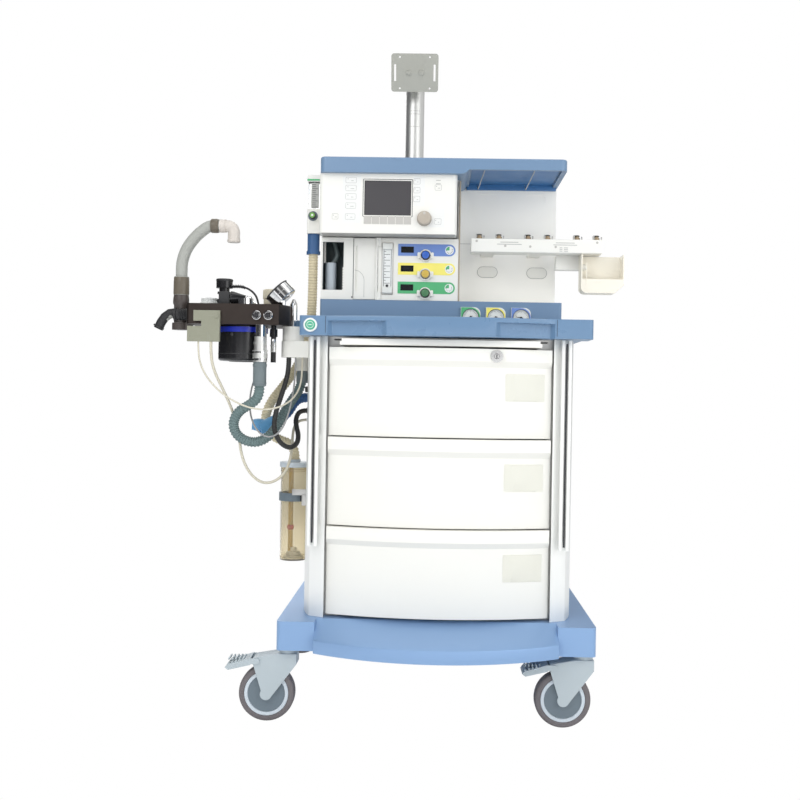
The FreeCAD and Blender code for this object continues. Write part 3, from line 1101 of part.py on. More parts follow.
def bag_arm():
    """Swivelling bag arm: spigot, sleeves, bent tube, patient elbow and the bag's outlet."""
    foot = 892 + AIR_GAP
    spigot = rod(BAG_X, BAG_Y, 880, BAG_PIN, foot - 880)
    lower = rod(BAG_X, BAG_Y, foot, BAG_SLEEVE, 957 - foot)
    upper = rod(BAG_X, BAG_Y, 957, BAG_SLEEVE + 2, BAG_SLEEVE_TOP - 957)
    y = BAG_Y
    tube = tube_along(2 * BAG_TUBE, [(BAG_X, y, BAG_SLEEVE_TOP), (BAG_X, y, 1036), (-597, y, 1068),
                                     (-574, y, 1098), (-546, y, 1120), (-520, y, 1120)])
    elbow = fuse(tube_along(28.0, [(-520, y, 1120), (-487, y, 1120), (-487, y, 1082)]),
                 rod(-520, y, 1120, 15.5, 14, V(1, 0, 0)))
    outlet = tube_along(20.0, [(BAG_X, y, 916), (-632, y, 914), (-651, y, 900), (-661, y, 878)])
    return Part.makeCompound([fuse(spigot, lower, outlet, upper, tube), elbow])


def apl_knob():
    """Ribbed knob of the pressure-limiting valve."""
    low = SYSTEM_HIGH + 6 + AIR_GAP
    knob = fuse(rod(APL_X, APL_Y, low, 18, 12), rod(APL_X, APL_Y, low + 12, 20, 24))
    for i in range(18):
        notch = rod(APL_X + 20.6, APL_Y, low + 14, 1.6, 30)
        knob = knob.cut(turned(notch, V(APL_X, APL_Y, 0), Z_AXIS, 20 * i))
    return knob.cut(rod(APL_X, APL_Y, low - 1, APL_PIN + RUN_GAP, 22))


def meter_axis():
    """The direction that the pressure gauge faces."""
    return V(-math.sin(math.radians(METER_LEAN)), 0, math.cos(math.radians(METER_LEAN)))


def meter_case(grow):
    """Outside of the gauge's case, grown by a gap."""
    back = meter_axis() * -1
    return fuse(Part.makeCylinder(METER_RADIUS + grow, METER_RIM + grow, METER_FACE, back),
                Part.makeCylinder(METER_BACK_RADIUS + grow, METER_DEPTH + grow, METER_FACE, back))


def manometer():
    """Round gauge that leans to the left on a short stem."""
    axis = meter_axis()
    stem = rod(METER_FACE.x - axis.x * METER_DEPTH * 0.72, METER_FACE.y, SYSTEM_HIGH, 6, 16)
    dish = Part.makeCylinder(METER_RADIUS - 3, 3, METER_FACE - axis * 2, axis)
    return fuse(meter_case(0), stem).cut(dish)


def scavenger_canister():
    """Clear receiver of the scavenging system."""
    shell = rod(RECEIVER_X, RECEIVER_Y, RECEIVER_LOW, RECEIVER_RADIUS, RECEIVER_HIGH - RECEIVER_LOW)
    return shell.cut(rod(RECEIVER_X, RECEIVER_Y, RECEIVER_LOW + RECEIVER_WALL,
                         RECEIVER_RADIUS - RECEIVER_WALL, RECEIVER_HIGH))


def side_fittings():
    """Receiver lid, flow tube and clamp, the blue cuff and the hose tails on the left side."""
    x, y, top = RECEIVER_X, RECEIVER_Y, RECEIVER_HIGH
    lid = fuse(rod(x, y, top, RECEIVER_RADIUS + 3, RECEIVER_LID),
               rod(x, y, top + RECEIVER_LID, 14, 570 - top - RECEIVER_LID))
    gauge = rod(x - 8, y, RECEIVER_LOW + RECEIVER_WALL, 6, top - RECEIVER_LOW - RECEIVER_WALL)
    clamp = fuse(ring(x, y, 470, RECEIVER_RADIUS + 4, RECEIVER_RADIUS, 20),
                 box(x + RECEIVER_RADIUS + 1, -CAB_HALF, y - 22, y + 22, 462, 498))
    tails = [rod(-CAB_HALF, ty, tz, r, -CAB_HALF - tx, V(-1, 0, 0)) for tx, ty, tz, r in
             ((-318, -126, 691, 8.5), (-318, -100, 722, 14.5), (-321, -108, 668, 4.5))]
    end, before = V(*BLUE_HOSE[1][-1]), V(*BLUE_HOSE[1][-2])
    along = (end - before).normalize()
    cuff = Part.makeCylinder(15, BLUE_CUFF_LENGTH, end, along).cut(
        Part.makeCylinder(10, BLUE_CUFF_LENGTH, end + along * 6, along))
    return Part.makeCompound([lid, gauge, clamp, cuff, *tails])


def gas_inlets():
    """Rear supply block with three gas inlets and a mains socket."""
    y = CAB_BACK
    plate = box(-130, 130, y, y + 8, 740, 820)
    inlets = [fuse(rod(x, y + 8, 780, 14, 8, V(0, 1, 0)), rod(x, y + 16, 780, 9, 20, V(0, 1, 0)))
              for x in (-90, -30, 30)]
    mains = box(66, 112, y + 8, y + 26, 762, 798).cut(box(72, 106, y + 16, y + 27, 768, 792))
    return Part.makeCompound([plate, *inlets, mains])


# ---- assembly -----------------------------------------------------------------------------------
def build():
    """Every sub-part by node name, and the names of the cords."""
    nodes = {"base_frame": base_frame(), "cabinet_sides": cabinet_sides(),
             "cabinet_frame": cabinet_frame(), "drawer_runners": drawer_runners(),
             "accessory_rails": accessory_rails(),
             "worktop": worktop(), "flush_button": flush_button(), "console_strip": console_strip(),
             "supply_gauges": supply_gauges(), "head_housing": head_housing(),
             "ventilator_cover": ventilator_cover(), "vent_door": vent_door(),
             "flow_panel": flow_panel(), "flow_tubes": flow_tubes(),
             "display_housing": display_housing(), "display_screen": display_screen(),
             "alcove_panel": alcove_panel(), "top_deck": top_deck(), "mast": mast(),
             "mast_head": mast_head(), "monitor_plate": monitor_plate(),
             "vaporizer_bar": vaporizer_bar(), "accessory_holder": accessory_holder(),
             "aux_flowmeter": aux_flowmeter(), "pivot_bracket": pivot_bracket(),
             "breathing_block": breathing_block(), "swing_post": swing_post(),
             "absorber_canister": absorber_canister(),
             "block_fittings": Part.makeCompound([block_fittings(), side_plate()]),
             "bag_arm": bag_arm(),
             "apl_knob": apl_knob(), "manometer": manometer(),
             "scavenger_canister": scavenger_canister(), "side_fittings": side_fittings(),
             "gas_inlets": gas_inlets(), "writing_tray": writing_tray(),
             "drawer_lock": drawer_lock()}
    for number in range(1, DRAWER_COUNT + 1):
        nodes[f"drawer_{number}"] = drawer(number)
    nodes["display_dial"] = front_knob(DIAL_X, DISPLAY_FRONT, DIAL_Z, DIAL_RADIUS, DIAL_DEPTH,
                                       HEAD_SKIN)
    for name, z in zip(FLOW_KNOB_NAMES, FLOW_KNOB_Z):
        nodes[f"flow_knob_{name}"] = front_knob(FLOW_KNOB_X, MODULE_Y, z, FLOW_KNOB_RADIUS,
                                                FLOW_KNOB_DEPTH, MODULE_THICK, grip=12)
    nodes["aux_knob"] = front_knob(AUX_X, AUX_Y - 20, AUX_KNOB_Z, AUX_KNOB_RADIUS, 16, 8, grip=10)
    for name, sx, sy in (("fl", -1, -1), ("fr", 1, -1), ("rl", -1, 1), ("rr", 1, 1)):
        cx, cy = sx * CASTER_X, sy * CASTER_Y
        fork, wheel = caster_parts(cx, cy)
        if sy < 0:
            nodes[f"brake_pedal_{name}"] = brake_pedal(cx, cy)
            fork = fork.cut(pedal_sockets(cx, cy))
        nodes[f"fork_{name}"], nodes[f"wheel_{name}"] = fork, wheel
    cords = {"vent_hose": tube_along(*VENT_HOSE), "black_hose": tube_along(*BLACK_HOSE),
             "blue_hose": tube_along(*BLUE_HOSE), "beige_hose": tube_along(*BEIGE_HOSE),
             "small_tubes": Part.makeCompound([tube_along(*line) for line in
                                               (CLEAR_TUBE, SAMPLE_LINE, SENSOR_LEAD)])}
    return nodes, cords


def main():
    nodes, cords = build()
    bounds = FreeCAD.BoundBox()
    for shape in nodes.values():
        bounds.add(shape.optimalBoundingBox(False, False))
    origin = V(-(bounds.XMin + bounds.XMax) / 2, -(bounds.YMin + bounds.YMax) / 2, -bounds.ZMin)
    print(f"origin shift {origin.x:.3f} {origin.y:.3f} {origin.z:.3f}")
    print(f"size {bounds.XLength:.1f} x {bounds.YLength:.1f} x {bounds.ZLength:.1f}")
    os.makedirs("parts", exist_ok=True)
    for name, shape in {**nodes, **cords}.items():
        if not shape.isValid():
            print(f"not valid: {name}")
        shape.translate(origin)
        shape.exportStep(f"parts/{name}.step")
    print(f"{len(nodes) + len(cords)} nodes")


main()
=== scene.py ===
"""Looks of the anaesthesia workstation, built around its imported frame.

Every sub-assembly is a class.  Its fields are sizes in millimetres, and its methods build meshes and
give them a finish.  Places come from the frame: a Panel measures from one corner of a CAD node's box,
and the Cart turns the design's own millimetres into scene metres.
"""

from __future__ import annotations

import json
import logging
import math
import random
from dataclasses import dataclass, field
from enum import Enum
from typing import Callable, Iterable, Sequence

import bmesh
import bpy
from mathutils import Matrix, Vector

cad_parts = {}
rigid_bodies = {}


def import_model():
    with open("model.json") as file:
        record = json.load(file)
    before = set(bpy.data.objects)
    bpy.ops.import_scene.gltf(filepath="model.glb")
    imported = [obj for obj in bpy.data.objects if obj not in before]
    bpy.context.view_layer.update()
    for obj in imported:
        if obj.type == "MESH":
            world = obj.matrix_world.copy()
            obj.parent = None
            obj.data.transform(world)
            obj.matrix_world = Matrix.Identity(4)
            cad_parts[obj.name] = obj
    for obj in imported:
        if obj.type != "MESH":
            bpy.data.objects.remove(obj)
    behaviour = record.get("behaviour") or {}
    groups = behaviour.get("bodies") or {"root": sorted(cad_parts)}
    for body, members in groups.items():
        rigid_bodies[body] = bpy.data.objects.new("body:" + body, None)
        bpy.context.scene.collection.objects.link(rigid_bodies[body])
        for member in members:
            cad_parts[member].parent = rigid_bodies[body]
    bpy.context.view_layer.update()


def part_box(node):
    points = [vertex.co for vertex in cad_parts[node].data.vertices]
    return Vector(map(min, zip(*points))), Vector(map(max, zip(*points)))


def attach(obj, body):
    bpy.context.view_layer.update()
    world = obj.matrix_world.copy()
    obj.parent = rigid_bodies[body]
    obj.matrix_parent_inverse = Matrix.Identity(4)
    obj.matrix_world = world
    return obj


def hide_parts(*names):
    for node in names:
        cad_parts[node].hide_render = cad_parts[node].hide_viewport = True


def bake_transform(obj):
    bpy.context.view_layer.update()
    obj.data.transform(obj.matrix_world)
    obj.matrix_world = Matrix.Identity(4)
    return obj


LOG = logging.getLogger("workstation")
MM = 0.001
ROOT = "cart"
SWING = "breathing_system"
Colour = tuple[float, float, float]
Point = tuple[float, float, float]
Outline = Sequence[tuple[float, float]]


# ---- where things are ---------------------------------------------------------------------------
class Axis(Enum):
    """Directions that a turned piece or a panel can face."""

    RIGHT = Vector((1, 0, 0))
    LEFT = Vector((-1, 0, 0))
    BACK = Vector((0, 1, 0))
    FRONT = Vector((0, -1, 0))
    UP = Vector((0, 0, 1))
    DOWN = Vector((0, 0, -1))


@dataclass(frozen=True)
class Cart:
    """The design's own frame: millimetres about the middle of the cart, on the floor.

    Args:
        base_back: how far the base reaches behind the cart's middle.
    """

    base_back: float = 330.0

    def at(self, x: float, y: float, z: float) -> Vector:
        """A point of the design in scene metres.

        Args:
            x, y, z: millimetres to the right, to the back and up.

        Returns:
            The point in metres.
        """
        low, high = (Vector(c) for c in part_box("base_frame"))
        middle = (low.x + high.x) / 2
        return Vector((middle + x * MM, high.y + (y - self.base_back) * MM, z * MM))

    def route(self, points: Iterable[Point]) -> list[Vector]:
        """A list of design points in scene metres."""
        return [self.at(*p) for p in points]


@dataclass(frozen=True)
class Panel:
    """The front of a CAD node, measured in millimetres from its box's left lower corner."""

    node: str

    @property
    def low(self) -> Vector:
        """Lower corner of the node's box."""
        return Vector(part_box(self.node)[0])

    @property
    def high(self) -> Vector:
        """Upper corner of the node's box."""
        return Vector(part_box(self.node)[1])

    @property
    def size(self) -> Vector:
        """Size of the node's box in millimetres."""
        return (self.high - self.low) / MM

    def at(self, x: float, z: float, proud: float = 0.0) -> Vector:
        """A point on the panel.

        Args:
            x: millimetres right of the left edge.
            z: millimetres above the lower edge.
            proud: millimetres in front of the node's foremost point.

        Returns:
            The point in metres.
        """
        return Vector((self.low.x + x * MM, self.low.y - proud * MM, self.low.z + z * MM))


# ---- shader groups ------------------------------------------------------------------------------
class NodeGroup:
    """Builds one shader node group with named sockets."""

    def __init__(self, name: str, inputs: dict[str, float], outputs: Sequence[str]) -> None:
        """Makes the group and its sockets.

        Args:
            name: the group's name.
            inputs: socket names and their values at the start.
            outputs: names of the value outputs.
        """
        self.tree = bpy.data.node_groups.new(name, "ShaderNodeTree")
        for socket, value in inputs.items():
            made = self.tree.interface.new_socket(socket, in_out="INPUT", socket_type="NodeSocketFloat")
            made.default_value = value
        for socket in outputs:
            self.tree.interface.new_socket(socket, in_out="OUTPUT", socket_type="NodeSocketFloat")
        self.start = self.tree.nodes.new("NodeGroupInput")
        self.end = self.tree.nodes.new("NodeGroupOutput")

    def node(self, kind: str, **settings: object) -> bpy.types.Node:
        """Adds a node and sets its properties."""
        made = self.tree.nodes.new(kind)
        for key, value in settings.items():
            setattr(made, key, value)
        return made

    def link(self, source: bpy.types.NodeSocket, target: bpy.types.NodeSocket) -> None:
        """Joins two sockets."""
        self.tree.links.new(source, target)

    def maths(self, operation: str, first: object, second: object = 0.0,
              clamp: bool = False) -> bpy.types.NodeSocket:
        """Adds a Math node.

        Args:
            operation: the node's operation.
            first, second: a socket or a number each.
            clamp: whether the result is held between 0 and 1.

        Returns:
            The node's output socket.
        """
        made = self.node("ShaderNodeMath", operation=operation, use_clamp=clamp)
        for socket, value in zip(made.inputs, (first, second)):
            if isinstance(value, bpy.types.NodeSocket):
                self.link(value, socket)
            else:
                socket.default_value = value
        return made.outputs[0]

    def noise(self, scale: object, detail: float = 3.0, stretch: Point = (1, 1, 1)) -> object:
        """Adds noise in object space.

        Args:
            scale: a socket or a number.
            detail: octaves of detail.
            stretch: factors on the three axes.

        Returns:
            The noise's value socket.
        """
        place = self.node("ShaderNodeTexCoord")
        mapping = self.node("ShaderNodeMapping")
        mapping.inputs["Scale"].default_value = stretch
        made = self.node("ShaderNodeTexNoise")
        made.inputs["Detail"].default_value = detail
        self.link(place.outputs["Object"], mapping.inputs["Vector"])
        self.link(mapping.outputs["Vector"], made.inputs["Vector"])
        if isinstance(scale, bpy.types.NodeSocket):
            self.link(scale, made.inputs["Scale"])
        else:
            made.inputs["Scale"].default_value = scale
        return made.outputs["Fac"]


class Effects:
    """The shader groups that several finishes share, each made once."""

    def __init__(self) -> None:
        """Starts with no group made."""
        self._made: dict[str, bpy.types.NodeTree] = {}

    def get(self, name: str) -> bpy.types.NodeTree:
        """The group of that name.

        Args:
            name: one of grain, mottle, edge_wear, dust and scratches.

        Returns:
            The shader node tree.
        """
        if name not in self._made:
            self._made[name] = getattr(self, f"_{name}")()
        return self._made[name]

    @staticmethod
    def _grain() -> bpy.types.NodeTree:
        """Height of a fine moulded or sprayed texture."""
        group = NodeGroup("grain", {"Scale": 900.0, "Depth": 1.0}, ["Height"])
        fine = group.noise(group.start.outputs["Scale"], 2.0)
        group.link(group.maths("MULTIPLY", fine, group.start.outputs["Depth"]), group.end.inputs["Height"])
        return group.tree

    @staticmethod
    def _mottle() -> bpy.types.NodeTree:
        """Slow change of tone over a large surface."""
        group = NodeGroup("mottle", {"Scale": 6.0, "Amount": 1.0}, ["Mask"])
        slow = group.noise(group.start.outputs["Scale"], 4.0)
        spread = group.maths("MULTIPLY_ADD", slow, 1.3)
        spread.node.inputs[2].default_value = -0.15
        group.link(group.maths("MULTIPLY", spread, group.start.outputs["Amount"], True),
                   group.end.inputs["Mask"])
        return group.tree

    @staticmethod
    def _edge_wear() -> bpy.types.NodeTree:
        """Mask of rubbed outer edges, broken up by noise."""
        group = NodeGroup("edge_wear", {"Amount": 1.0, "Breakup": 60.0}, ["Mask"])
        shape = group.node("ShaderNodeNewGeometry")
        rounded = group.node("ShaderNodeBevel", samples=4)
        rounded.inputs["Radius"].default_value = 0.0016
        dot = group.node("ShaderNodeVectorMath", operation="DOT_PRODUCT")
        group.link(rounded.outputs["Normal"], dot.inputs[0])
        group.link(shape.outputs["Normal"], dot.inputs[1])
        edge = group.maths("MULTIPLY", group.maths("SUBTRACT", 0.97, dot.outputs["Value"]), 5.0, True)
        chips = group.maths("GREATER_THAN", group.noise(group.start.outputs["Breakup"], 5.0), 0.52)
        rubbed = group.maths("MULTIPLY", edge, chips)
        group.link(group.maths("MULTIPLY", rubbed, group.start.outputs["Amount"], True),
                   group.end.inputs["Mask"])
        return group.tree

    @staticmethod
    def _dust() -> bpy.types.NodeTree:
        """Mask of dust that settles on surfaces facing up."""
        group = NodeGroup("dust", {"Amount": 1.0, "Scale": 25.0}, ["Mask"])
        shape = group.node("ShaderNodeNewGeometry")
        split = group.node("ShaderNodeSeparateXYZ")
        group.link(shape.outputs["Normal"], split.inputs[0])
        facing = group.maths("MULTIPLY", group.maths("SUBTRACT", split.outputs["Z"], 0.5), 2.0, True)
        patch = group.noise(group.start.outputs["Scale"], 6.0)
        group.link(group.maths("MULTIPLY", group.maths("MULTIPLY", facing, patch),
                               group.start.outputs["Amount"], True), group.end.inputs["Mask"])
        return group.tree

    @staticmethod
    def _scratches() -> bpy.types.NodeTree:
        """Mask of fine hairline scratches in two directions."""
        group = NodeGroup("scratches", {"Amount": 1.0}, ["Mask"])
        lines = [group.maths("GREATER_THAN", group.noise(30.0, 2.0, stretch), 0.68)
                 for stretch in ((1, 1, 26), (24, 24, 1.5))]
        both = group.maths("ADD", lines[0], lines[1], True)
        group.link(group.maths("MULTIPLY", both, group.start.outputs["Amount"], True),
                   group.end.inputs["Mask"])
        return group.tree


EFFECTS = Effects()


class Shader:
    """One material's node tree around a Principled BSDF."""

    def __init__(self, name: str) -> None:
        """Makes the material with an empty tree.

        Args:
            name: the material's name.
        """
        self.material = bpy.data.materials.new(name)
        self.material.use_nodes = True
        self.tree = self.material.node_tree
        self.tree.nodes.clear()
        self.bsdf = self.tree.nodes.new("ShaderNodeBsdfPrincipled")
        out = self.tree.nodes.new("ShaderNodeOutputMaterial")
        self.tree.links.new(self.bsdf.outputs[0], out.inputs[0])

    def effect(self, name: str, output: str, **values: float) -> bpy.types.NodeSocket:
        """Places a shared group with this material's own values.

        Args:
            name: the group's name.
            output: which output is wanted.
            values: the group's inputs, with spaces written as underscores.

        Returns:
            The output socket.
        """
        node = self.tree.nodes.new("ShaderNodeGroup")
        node.node_tree = EFFECTS.get(name)
        for key, value in values.items():
            node.inputs[key.replace("_", " ")].default_value = value
        return node.outputs[output]

    def blend(self, mask: bpy.types.NodeSocket, base: object, over: Colour) -> bpy.types.NodeSocket:
        """Lays one colour over another where a mask says.

        Args:
            mask: how much of the second colour shows.
            base: the colour or socket underneath.
            over: the colour on top.

        Returns:
            The colour socket.
        """
        mix = self.tree.nodes.new("ShaderNodeMix")
        mix.data_type = "RGBA"
        self.tree.links.new(mask, mix.inputs["Factor"])
        if isinstance(base, bpy.types.NodeSocket):
            self.tree.links.new(base, mix.inputs["A"])
        else:
            mix.inputs["A"].default_value = (*base, 1)
        mix.inputs["B"].default_value = (*over, 1)
        return mix.outputs["Result"]

    def scale(self, source: bpy.types.NodeSocket, low: float, high: float) -> bpy.types.NodeSocket:
        """Maps 0 to 1 onto two values.

        Args:
            source: the value socket.
            low, high: what 0 and 1 become.

        Returns:
            The mapped value socket.
        """
        node = self.tree.nodes.new("ShaderNodeMapRange")
        node.inputs["To Min"].default_value = low
        node.inputs["To Max"].default_value = high
        self.tree.links.new(source, node.inputs["Value"])
        return node.outputs[0]

    def bump(self, height: bpy.types.NodeSocket, strength: float, distance: float) -> None:
        """Feeds a height to the surface's normal.

        Args:
            height: the height socket.
            strength: from 0 to 1.
            distance: depth in metres.
        """
        node = self.tree.nodes.new("ShaderNodeBump")
        node.inputs["Strength"].default_value = strength
        node.inputs["Distance"].default_value = distance
        self.tree.links.new(height, node.inputs["Height"])
        self.tree.links.new(node.outputs[0], self.bsdf.inputs["Normal"])

    def feed(self, socket: str, source: bpy.types.NodeSocket) -> None:
        """Joins a socket to one of the shader's inputs."""
        self.tree.links.new(source, self.bsdf.inputs[socket])


# ---- finishes -----------------------------------------------------------------------------------
@dataclass(frozen=True)
class Finish:
    """What every finish has: a name, a colour and the record's material slot."""

    name: str
    colour: Colour
    slot: str

    def material(self) -> bpy.types.Material:
        """The Blender material, made on first use."""
        found = bpy.data.materials.get(self.name)
        return found or self._make().material

    def _make(self) -> Shader:
        """Builds the shader; each finish has its own."""
        raise NotImplementedError

    def tone(self, factor: float) -> Colour:
        """The colour made darker or lighter by a factor."""
        return tuple(min(1.0, c * factor) for c in self.colour)


@dataclass(frozen=True)
class Moulded(Finish):
    """Moulded plastic: fine grain, slow change of tone, handling marks and a little dust."""

    rough: float = 0.42
    grain: float = 0.25
    aged: Colour = (0.78, 0.74, 0.62)
    ageing: float = 0.16
    wear: Colour = (0.9, 0.9, 0.88)
    worn: float = 0.0

    def _make(self) -> Shader:
        """Plastic with grain, ageing, scratches and dust."""
        shader = Shader(self.name)
        colour = shader.blend(shader.effect("mottle", "Mask", Scale=4.0, Amount=self.ageing),
                              self.colour, self.aged)
        if self.worn:
            colour = shader.blend(shader.effect("edge_wear", "Mask", Amount=self.worn), colour, self.wear)
        colour = shader.blend(shader.effect("dust", "Mask", Amount=0.18), colour, (0.62, 0.6, 0.56))
        shader.feed("Base Color", colour)
        marks = shader.effect("mottle", "Mask", Scale=22.0, Amount=0.9)
        shader.feed("Roughness", shader.scale(marks, self.rough - 0.06, self.rough + 0.1))
        shader.bump(shader.effect("grain", "Height", Scale=1100.0), self.grain, 0.0002)
        shader.bsdf.inputs["Specular IOR Level"].default_value = 0.45
        return shader


@dataclass(frozen=True)
class Painted(Finish):
    """Sprayed metal: orange peel, rubbed edges that show the primer, dust and scratches."""

    rough: float = 0.32
    coat: float = 0.25
    chip: Colour = (0.72, 0.74, 0.76)
    worn: float = 0.5
    fade: float = 0.2

    def _make(self) -> Shader:
        """Paint over metal with orange peel and wear."""
        shader = Shader(self.name)
        colour = shader.blend(shader.effect("mottle", "Mask", Scale=5.0, Amount=self.fade),
                              self.colour, self.tone(1.25))
        colour = shader.blend(shader.effect("scratches", "Mask", Amount=0.1), colour, self.chip)
        colour = shader.blend(shader.effect("edge_wear", "Mask", Amount=self.worn), colour, self.chip)
        colour = shader.blend(shader.effect("dust", "Mask", Amount=0.22), colour, (0.55, 0.55, 0.54))
        shader.feed("Base Color", colour)
        marks = shader.effect("mottle", "Mask", Scale=18.0, Amount=1.0)
        shader.feed("Roughness", shader.scale(marks, self.rough - 0.05, self.rough + 0.12))
        shader.bump(shader.effect("grain", "Height", Scale=420.0), 0.12, 0.0003)
        shader.bsdf.inputs["Coat Weight"].default_value = self.coat
        shader.bsdf.inputs["Coat Roughness"].default_value = 0.2
        return shader


@dataclass(frozen=True)
class Metal(Finish):
    """Bare metal, from bright chrome to a satin brushed surface."""

    rough: float = 0.12
    brushed: float = 0.0
    soil: float = 0.2

    def _make(self) -> Shader:
        """Metal with smudges and, if brushed, a drawn grain."""
        shader = Shader(self.name)
        smudge = shader.effect("mottle", "Mask", Scale=30.0, Amount=self.soil)
        shader.feed("Base Color", shader.blend(smudge, self.colour, self.tone(0.55)))
        shader.feed("Roughness", shader.scale(smudge, self.rough, self.rough + 0.25))
        shader.bsdf.inputs["Metallic"].default_value = 1.0
        if self.brushed:
            shader.bump(shader.effect("scratches", "Mask", Amount=1.0), self.brushed, 0.0001)
        return shader


@dataclass(frozen=True)
class Rubber(Finish):
    """Rubber and soft vinyl: matt, with bloom on it."""

    rough: float = 0.62
    bloom: float = 0.25
    bloom_colour: Colour = (0.35, 0.34, 0.32)

    def _make(self) -> Shader:
        """Matt rubber with bloom and a fine skin texture."""
        shader = Shader(self.name)
        colour = shader.blend(shader.effect("mottle", "Mask", Scale=14.0, Amount=self.bloom),
                              self.colour, self.bloom_colour)
        shader.feed("Base Color", colour)
        marks = shader.effect("mottle", "Mask", Scale=40.0, Amount=0.8)
        shader.feed("Roughness", shader.scale(marks, self.rough - 0.1, self.rough + 0.1))
        shader.bump(shader.effect("grain", "Height", Scale=700.0), 0.3, 0.0003)
        return shader


@dataclass(frozen=True)
class Clear(Finish):
    """Clear plastic or glass, a little yellowed."""

    rough: float = 0.08
    through: float = 0.85

    def _make(self) -> Shader:
        """Transmitting plastic with smudges."""
        shader = Shader(self.name)
        shader.bsdf.inputs["Base Color"].default_value = (*self.colour, 1)
        shader.bsdf.inputs["Transmission Weight"].default_value = self.through
        shader.bsdf.inputs["IOR"].default_value = 1.3
        smudge = shader.effect("mottle", "Mask", Scale=30.0, Amount=1.0)
        shader.feed("Roughness", shader.scale(smudge, self.rough, self.rough + 0.12))
        return shader


@dataclass(frozen=True)
class Screen(Finish):
    """A switched-off display behind a glossy sheet."""

    def _make(self) -> Shader:
        """Dark glossy sheet with faint fingerprints."""
        shader = Shader(self.name)
        haze = shader.effect("mottle", "Mask", Scale=12.0, Amount=0.5)
        shader.feed("Base Color", shader.blend(haze, self.colour, self.tone(1.35)))
        marks = shader.effect("mottle", "Mask", Scale=35.0, Amount=1.0)
        shader.feed("Roughness", shader.scale(marks, 0.12, 0.3))
        shader.bsdf.inputs["Coat Weight"].default_value = 0.4
        shader.bsdf.inputs["Coat Roughness"].default_value = 0.08
        return shader


@dataclass(frozen=True)
class Ink(Finish):
    """Printed ink or a thin film on plastic."""

    rough: float = 0.4

    def _make(self) -> Shader:
        """Ink with slight unevenness and rubbed patches."""
        shader = Shader(self.name)
        colour = shader.blend(shader.effect("mottle", "Mask", Scale=50.0, Amount=0.25),
                              self.colour, self.tone(0.85))
        shader.feed("Base Color", colour)
        marks = shader.effect("mottle", "Mask", Scale=60.0, Amount=0.8)
        shader.feed("Roughness", shader.scale(marks, self.rough - 0.08, self.rough + 0.1))
        return shader


BLUE_PAINT = Painted("blue_paint", (0.19, 0.32, 0.505), "blue_paint", worn=0.7)
BLUE_SHELL = Moulded("blue_shell", (0.135, 0.235, 0.375), "blue_plastic", rough=0.28, grain=0.12,
                     aged=(0.17, 0.27, 0.41), ageing=0.06, wear=(0.42, 0.52, 0.64), worn=0.45)
BLUE_DECK = Moulded("blue_deck", (0.155, 0.25, 0.385), "blue_plastic", rough=0.36, grain=0.12,
                    aged=(0.19, 0.29, 0.42), ageing=0.06, wear=(0.42, 0.52, 0.64), worn=0.35)
# Darker copy of the deck blue, painted shade under the hood and in its recess.
BLUE_UNDER_SHADE = Moulded("blue_under_shade", (0.045, 0.16, 0.37), "blue_plastic", rough=0.4, grain=0.12,
                     aged=(0.08, 0.22, 0.4), ageing=0.06)
WHITE_PAINT = Painted("white_paint", (0.80, 0.80, 0.77), "white_paint", worn=0.25, chip=(0.5, 0.5, 0.48),
                      fade=0.1)
WHITE_SHELL = Moulded("white_shell", (0.83, 0.82, 0.775), "white_plastic", rough=0.4)
# Alcove panel white, lighter than the other white plastics: painted light against the shadow of the hood.
PANEL_PAINTED_LIGHT = Moulded("panel_painted_light", (0.95, 0.935, 0.89), "white_plastic", rough=0.45)
KEYPAD = Moulded("keypad_film", (0.80, 0.80, 0.775), "white_plastic", rough=0.5, ageing=0.05)
LIGHT_GREY = Moulded("light_grey_nylon", (0.42, 0.48, 0.51), "light_grey_plastic", rough=0.46,
                     aged=(0.56, 0.58, 0.57), grain=0.3)
HUB_GREY = Moulded("hub_grey", (0.135, 0.175, 0.205), "light_grey_plastic", rough=0.5,
                   aged=(0.2, 0.21, 0.22))
RIM_GREY = Moulded("rim_grey", (0.56, 0.62, 0.67), "light_grey_plastic", rough=0.45,
                   aged=(0.5, 0.52, 0.54))
CREAM = Moulded("cream_shell", (0.86, 0.82, 0.72), "cream_plastic", rough=0.38,
                aged=(0.8, 0.72, 0.56), ageing=0.3)
TAUPE = Moulded("taupe_knob", (0.43, 0.375, 0.31), "taupe_plastic", rough=0.36, ageing=0.1)
SOFTKEY = Moulded("softkey_grey", (0.50, 0.48, 0.45), "taupe_plastic", rough=0.5, ageing=0.1)
BEIGE = Moulded("beige_knob", (0.56, 0.51, 0.39), "beige_plastic", rough=0.44, ageing=0.1)
BLACK = Moulded("black_shell", (0.006, 0.006, 0.007), "black_plastic", rough=0.2, grain=0.06,
                aged=(0.05, 0.05, 0.055), ageing=0.2)
BLACK_MATT = Moulded("black_matt", (0.02, 0.02, 0.022), "knob_plastic", rough=0.5,
                     aged=(0.06, 0.06, 0.06), ageing=0.2)
# Near-black inside the bay window: the window's tint together with painted shade of the bay's inside.
BAY_TINT_AND_SHADE = Moulded("bay_tint_and_shade", (0.035, 0.055, 0.058), "white_plastic", rough=0.3, aged=(0.09, 0.12, 0.12))
BAY_TUBE = Moulded("bay_tube", (0.10, 0.125, 0.125), "white_plastic", rough=0.3, aged=(0.2, 0.23, 0.23))
GREEN = Moulded("green_cap", (0.05, 0.40, 0.24), "green_plastic", rough=0.3, ageing=0.05)
BLUE_CAP = Moulded("blue_cap", (0.03, 0.12, 0.50), "knob_plastic", rough=0.3, ageing=0.05,
                   aged=(0.1, 0.2, 0.55))
YELLOW_CAP = Moulded("yellow_cap", (0.62, 0.42, 0.06), "knob_plastic", rough=0.3, ageing=0.05)
BLUE_RING = Moulded("blue_ring", (0.01, 0.025, 0.36), "black_plastic", rough=0.25,
                    aged=(0.03, 0.06, 0.6), ageing=0.1)
